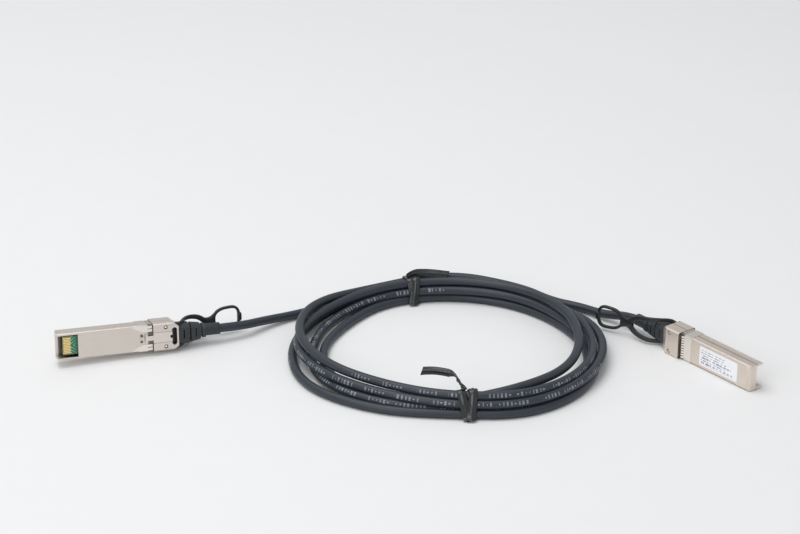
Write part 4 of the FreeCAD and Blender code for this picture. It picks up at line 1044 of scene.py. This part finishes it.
for side in SIDES:
    rubber, rubber_shader, rubber_nodes = new_finish(side + "_boot_rubber", Specular_IOR_Level=0.42)
    bloom = noise(rubber_nodes, scale=240.0, detail=5.0)
    pores = noise(rubber_nodes, scale=3800.0, detail=2.0)
    # Painted highlight: the rib edges are lightened, mixed with patchy rubbed wear.
    rubbed_and_highlight = edge_mask(rubber_nodes, RUBBED_AND_HIGHLIGHT_WIDTH) * span(bloom, low=0.1, high=1.0)
    bloomed = rubber_nodes.blend(bloom, RUBBER_DARK, RUBBER_PALE)
    feed(rubber_shader, Base_Color=rubber_nodes.blend(rubbed_and_highlight, bloomed, RUBBED_AND_HIGHLIGHT_TINT))
    feed(rubber_shader, Roughness=span(bloom, low=0.42, high=0.62))
    moulded = rubber_nodes.add("Bevel", {"Radius": MOULD_RADIUS}, samples=6)
    feed(rubber_shader, Normal=bump(rubber_nodes, pores, strength=0.2, depth=0.00006, base=moulded))
    dress(side + "_strain_relief", rubber, BOOT_EDGE)


# Rivets
# Steel pins, turned bright on top, with a ring of painted shade round their rim in the bottom of their
# holes.
RIVET_EDGE = 0.0001
RIVET_ALONG = 0.0539
RIVET_OFF_MIDDLE = 0.0049
RIM_SHADE_START = 0.00045
RIM_SHADE_END = 0.00070
TURNING_STEP = 0.00012
PIN_DARK = (0.78, 0.77, 0.75, 1)
PIN_BRIGHT = (0.90, 0.89, 0.87, 1)
RIM_SHADE_TINT = (0.050, 0.046, 0.042, 1)

for side in SIDES:
    pin, pin_shader, pin_nodes = new_finish(side + "_rivet_steel", Metallic=1.0)
    along, across, _ = own_place(pin_nodes, side)
    out_along = along - RIVET_ALONG
    out_across = pin_nodes.math("ABSOLUTE", across) - RIVET_OFF_MIDDLE
    from_middle = pin_nodes.math("SQRT", out_along * out_along + out_across * out_across)
    # Painted shade: a dark ring round the pin's rim, where the hole's wall shades it.
    rim_shade = ramp(pin_nodes, from_middle, RIM_SHADE_START, RIM_SHADE_END)
    turned = pin_nodes.math("FRACT", from_middle * (1 / TURNING_STEP))
    bright = pin_nodes.blend(turned, PIN_DARK, PIN_BRIGHT)
    feed(pin_shader, Base_Color=pin_nodes.blend(rim_shade, bright, RIM_SHADE_TINT))
    feed(pin_shader, Roughness=span(rim_shade, low=0.2, high=0.5))
    dress(side + "_shell_rivets", pin, RIVET_EDGE)


# Sticker
# White coated paper on the right module, with rows of plain grey bars in place of its small print.
LABEL_ROW = 0.00128
LABEL_WORD = 0.0024
LABEL_SIDE = 0.0042
LABEL_END = 0.0330
LABEL_START_SHORT = 0.0175
LABEL_START_LONG = 0.0095
ROW_SHIFT = 3.0
ROW_OFFSET = 57.0
PAPER_DARK = (0.88, 0.90, 0.94, 1)
PAPER_PALE = (0.94, 0.95, 0.97, 1)
LABEL_INK = (0.16, 0.18, 0.24, 1)

sticker, sticker_shader, sticker_nodes = new_finish("label_paper", Roughness=0.45)
along, across, _ = own_place(sticker_nodes, "right")
row_place = across * (1 / LABEL_ROW)
row_share = sticker_nodes.math("FRACT", row_place)
row_number = sticker_nodes.math("FLOOR", row_place)
row_chance = chance(sticker_nodes, row_number)
word_place = (LABEL_END - along) * (1 / LABEL_WORD) + row_chance * ROW_SHIFT
word_number = sticker_nodes.math("FLOOR", word_place) + row_number * ROW_OFFSET
word_chance = chance(sticker_nodes, word_number)
off_row = sticker_nodes.math("ABSOLUTE", row_share - 0.5)
in_row = off_row < span(row_chance, low=0.16, high=0.42)
in_word = sticker_nodes.math("FRACT", word_place) < span(word_chance, low=0.45, high=0.95)
row_start = span(row_chance, low=LABEL_START_SHORT, high=LABEL_START_LONG)
off_middle = sticker_nodes.math("ABSOLUTE", across)
in_margin = between(along, row_start, LABEL_END) * (off_middle < LABEL_SIDE)
bars = in_row * in_word * in_margin * span(word_chance, low=0.5, high=0.9)
paper = sticker_nodes.blend(noise(sticker_nodes, scale=900.0), PAPER_DARK, PAPER_PALE)
feed(sticker_shader, Base_Color=sticker_nodes.blend(bars, paper, LABEL_INK))
dress("right_label", sticker)
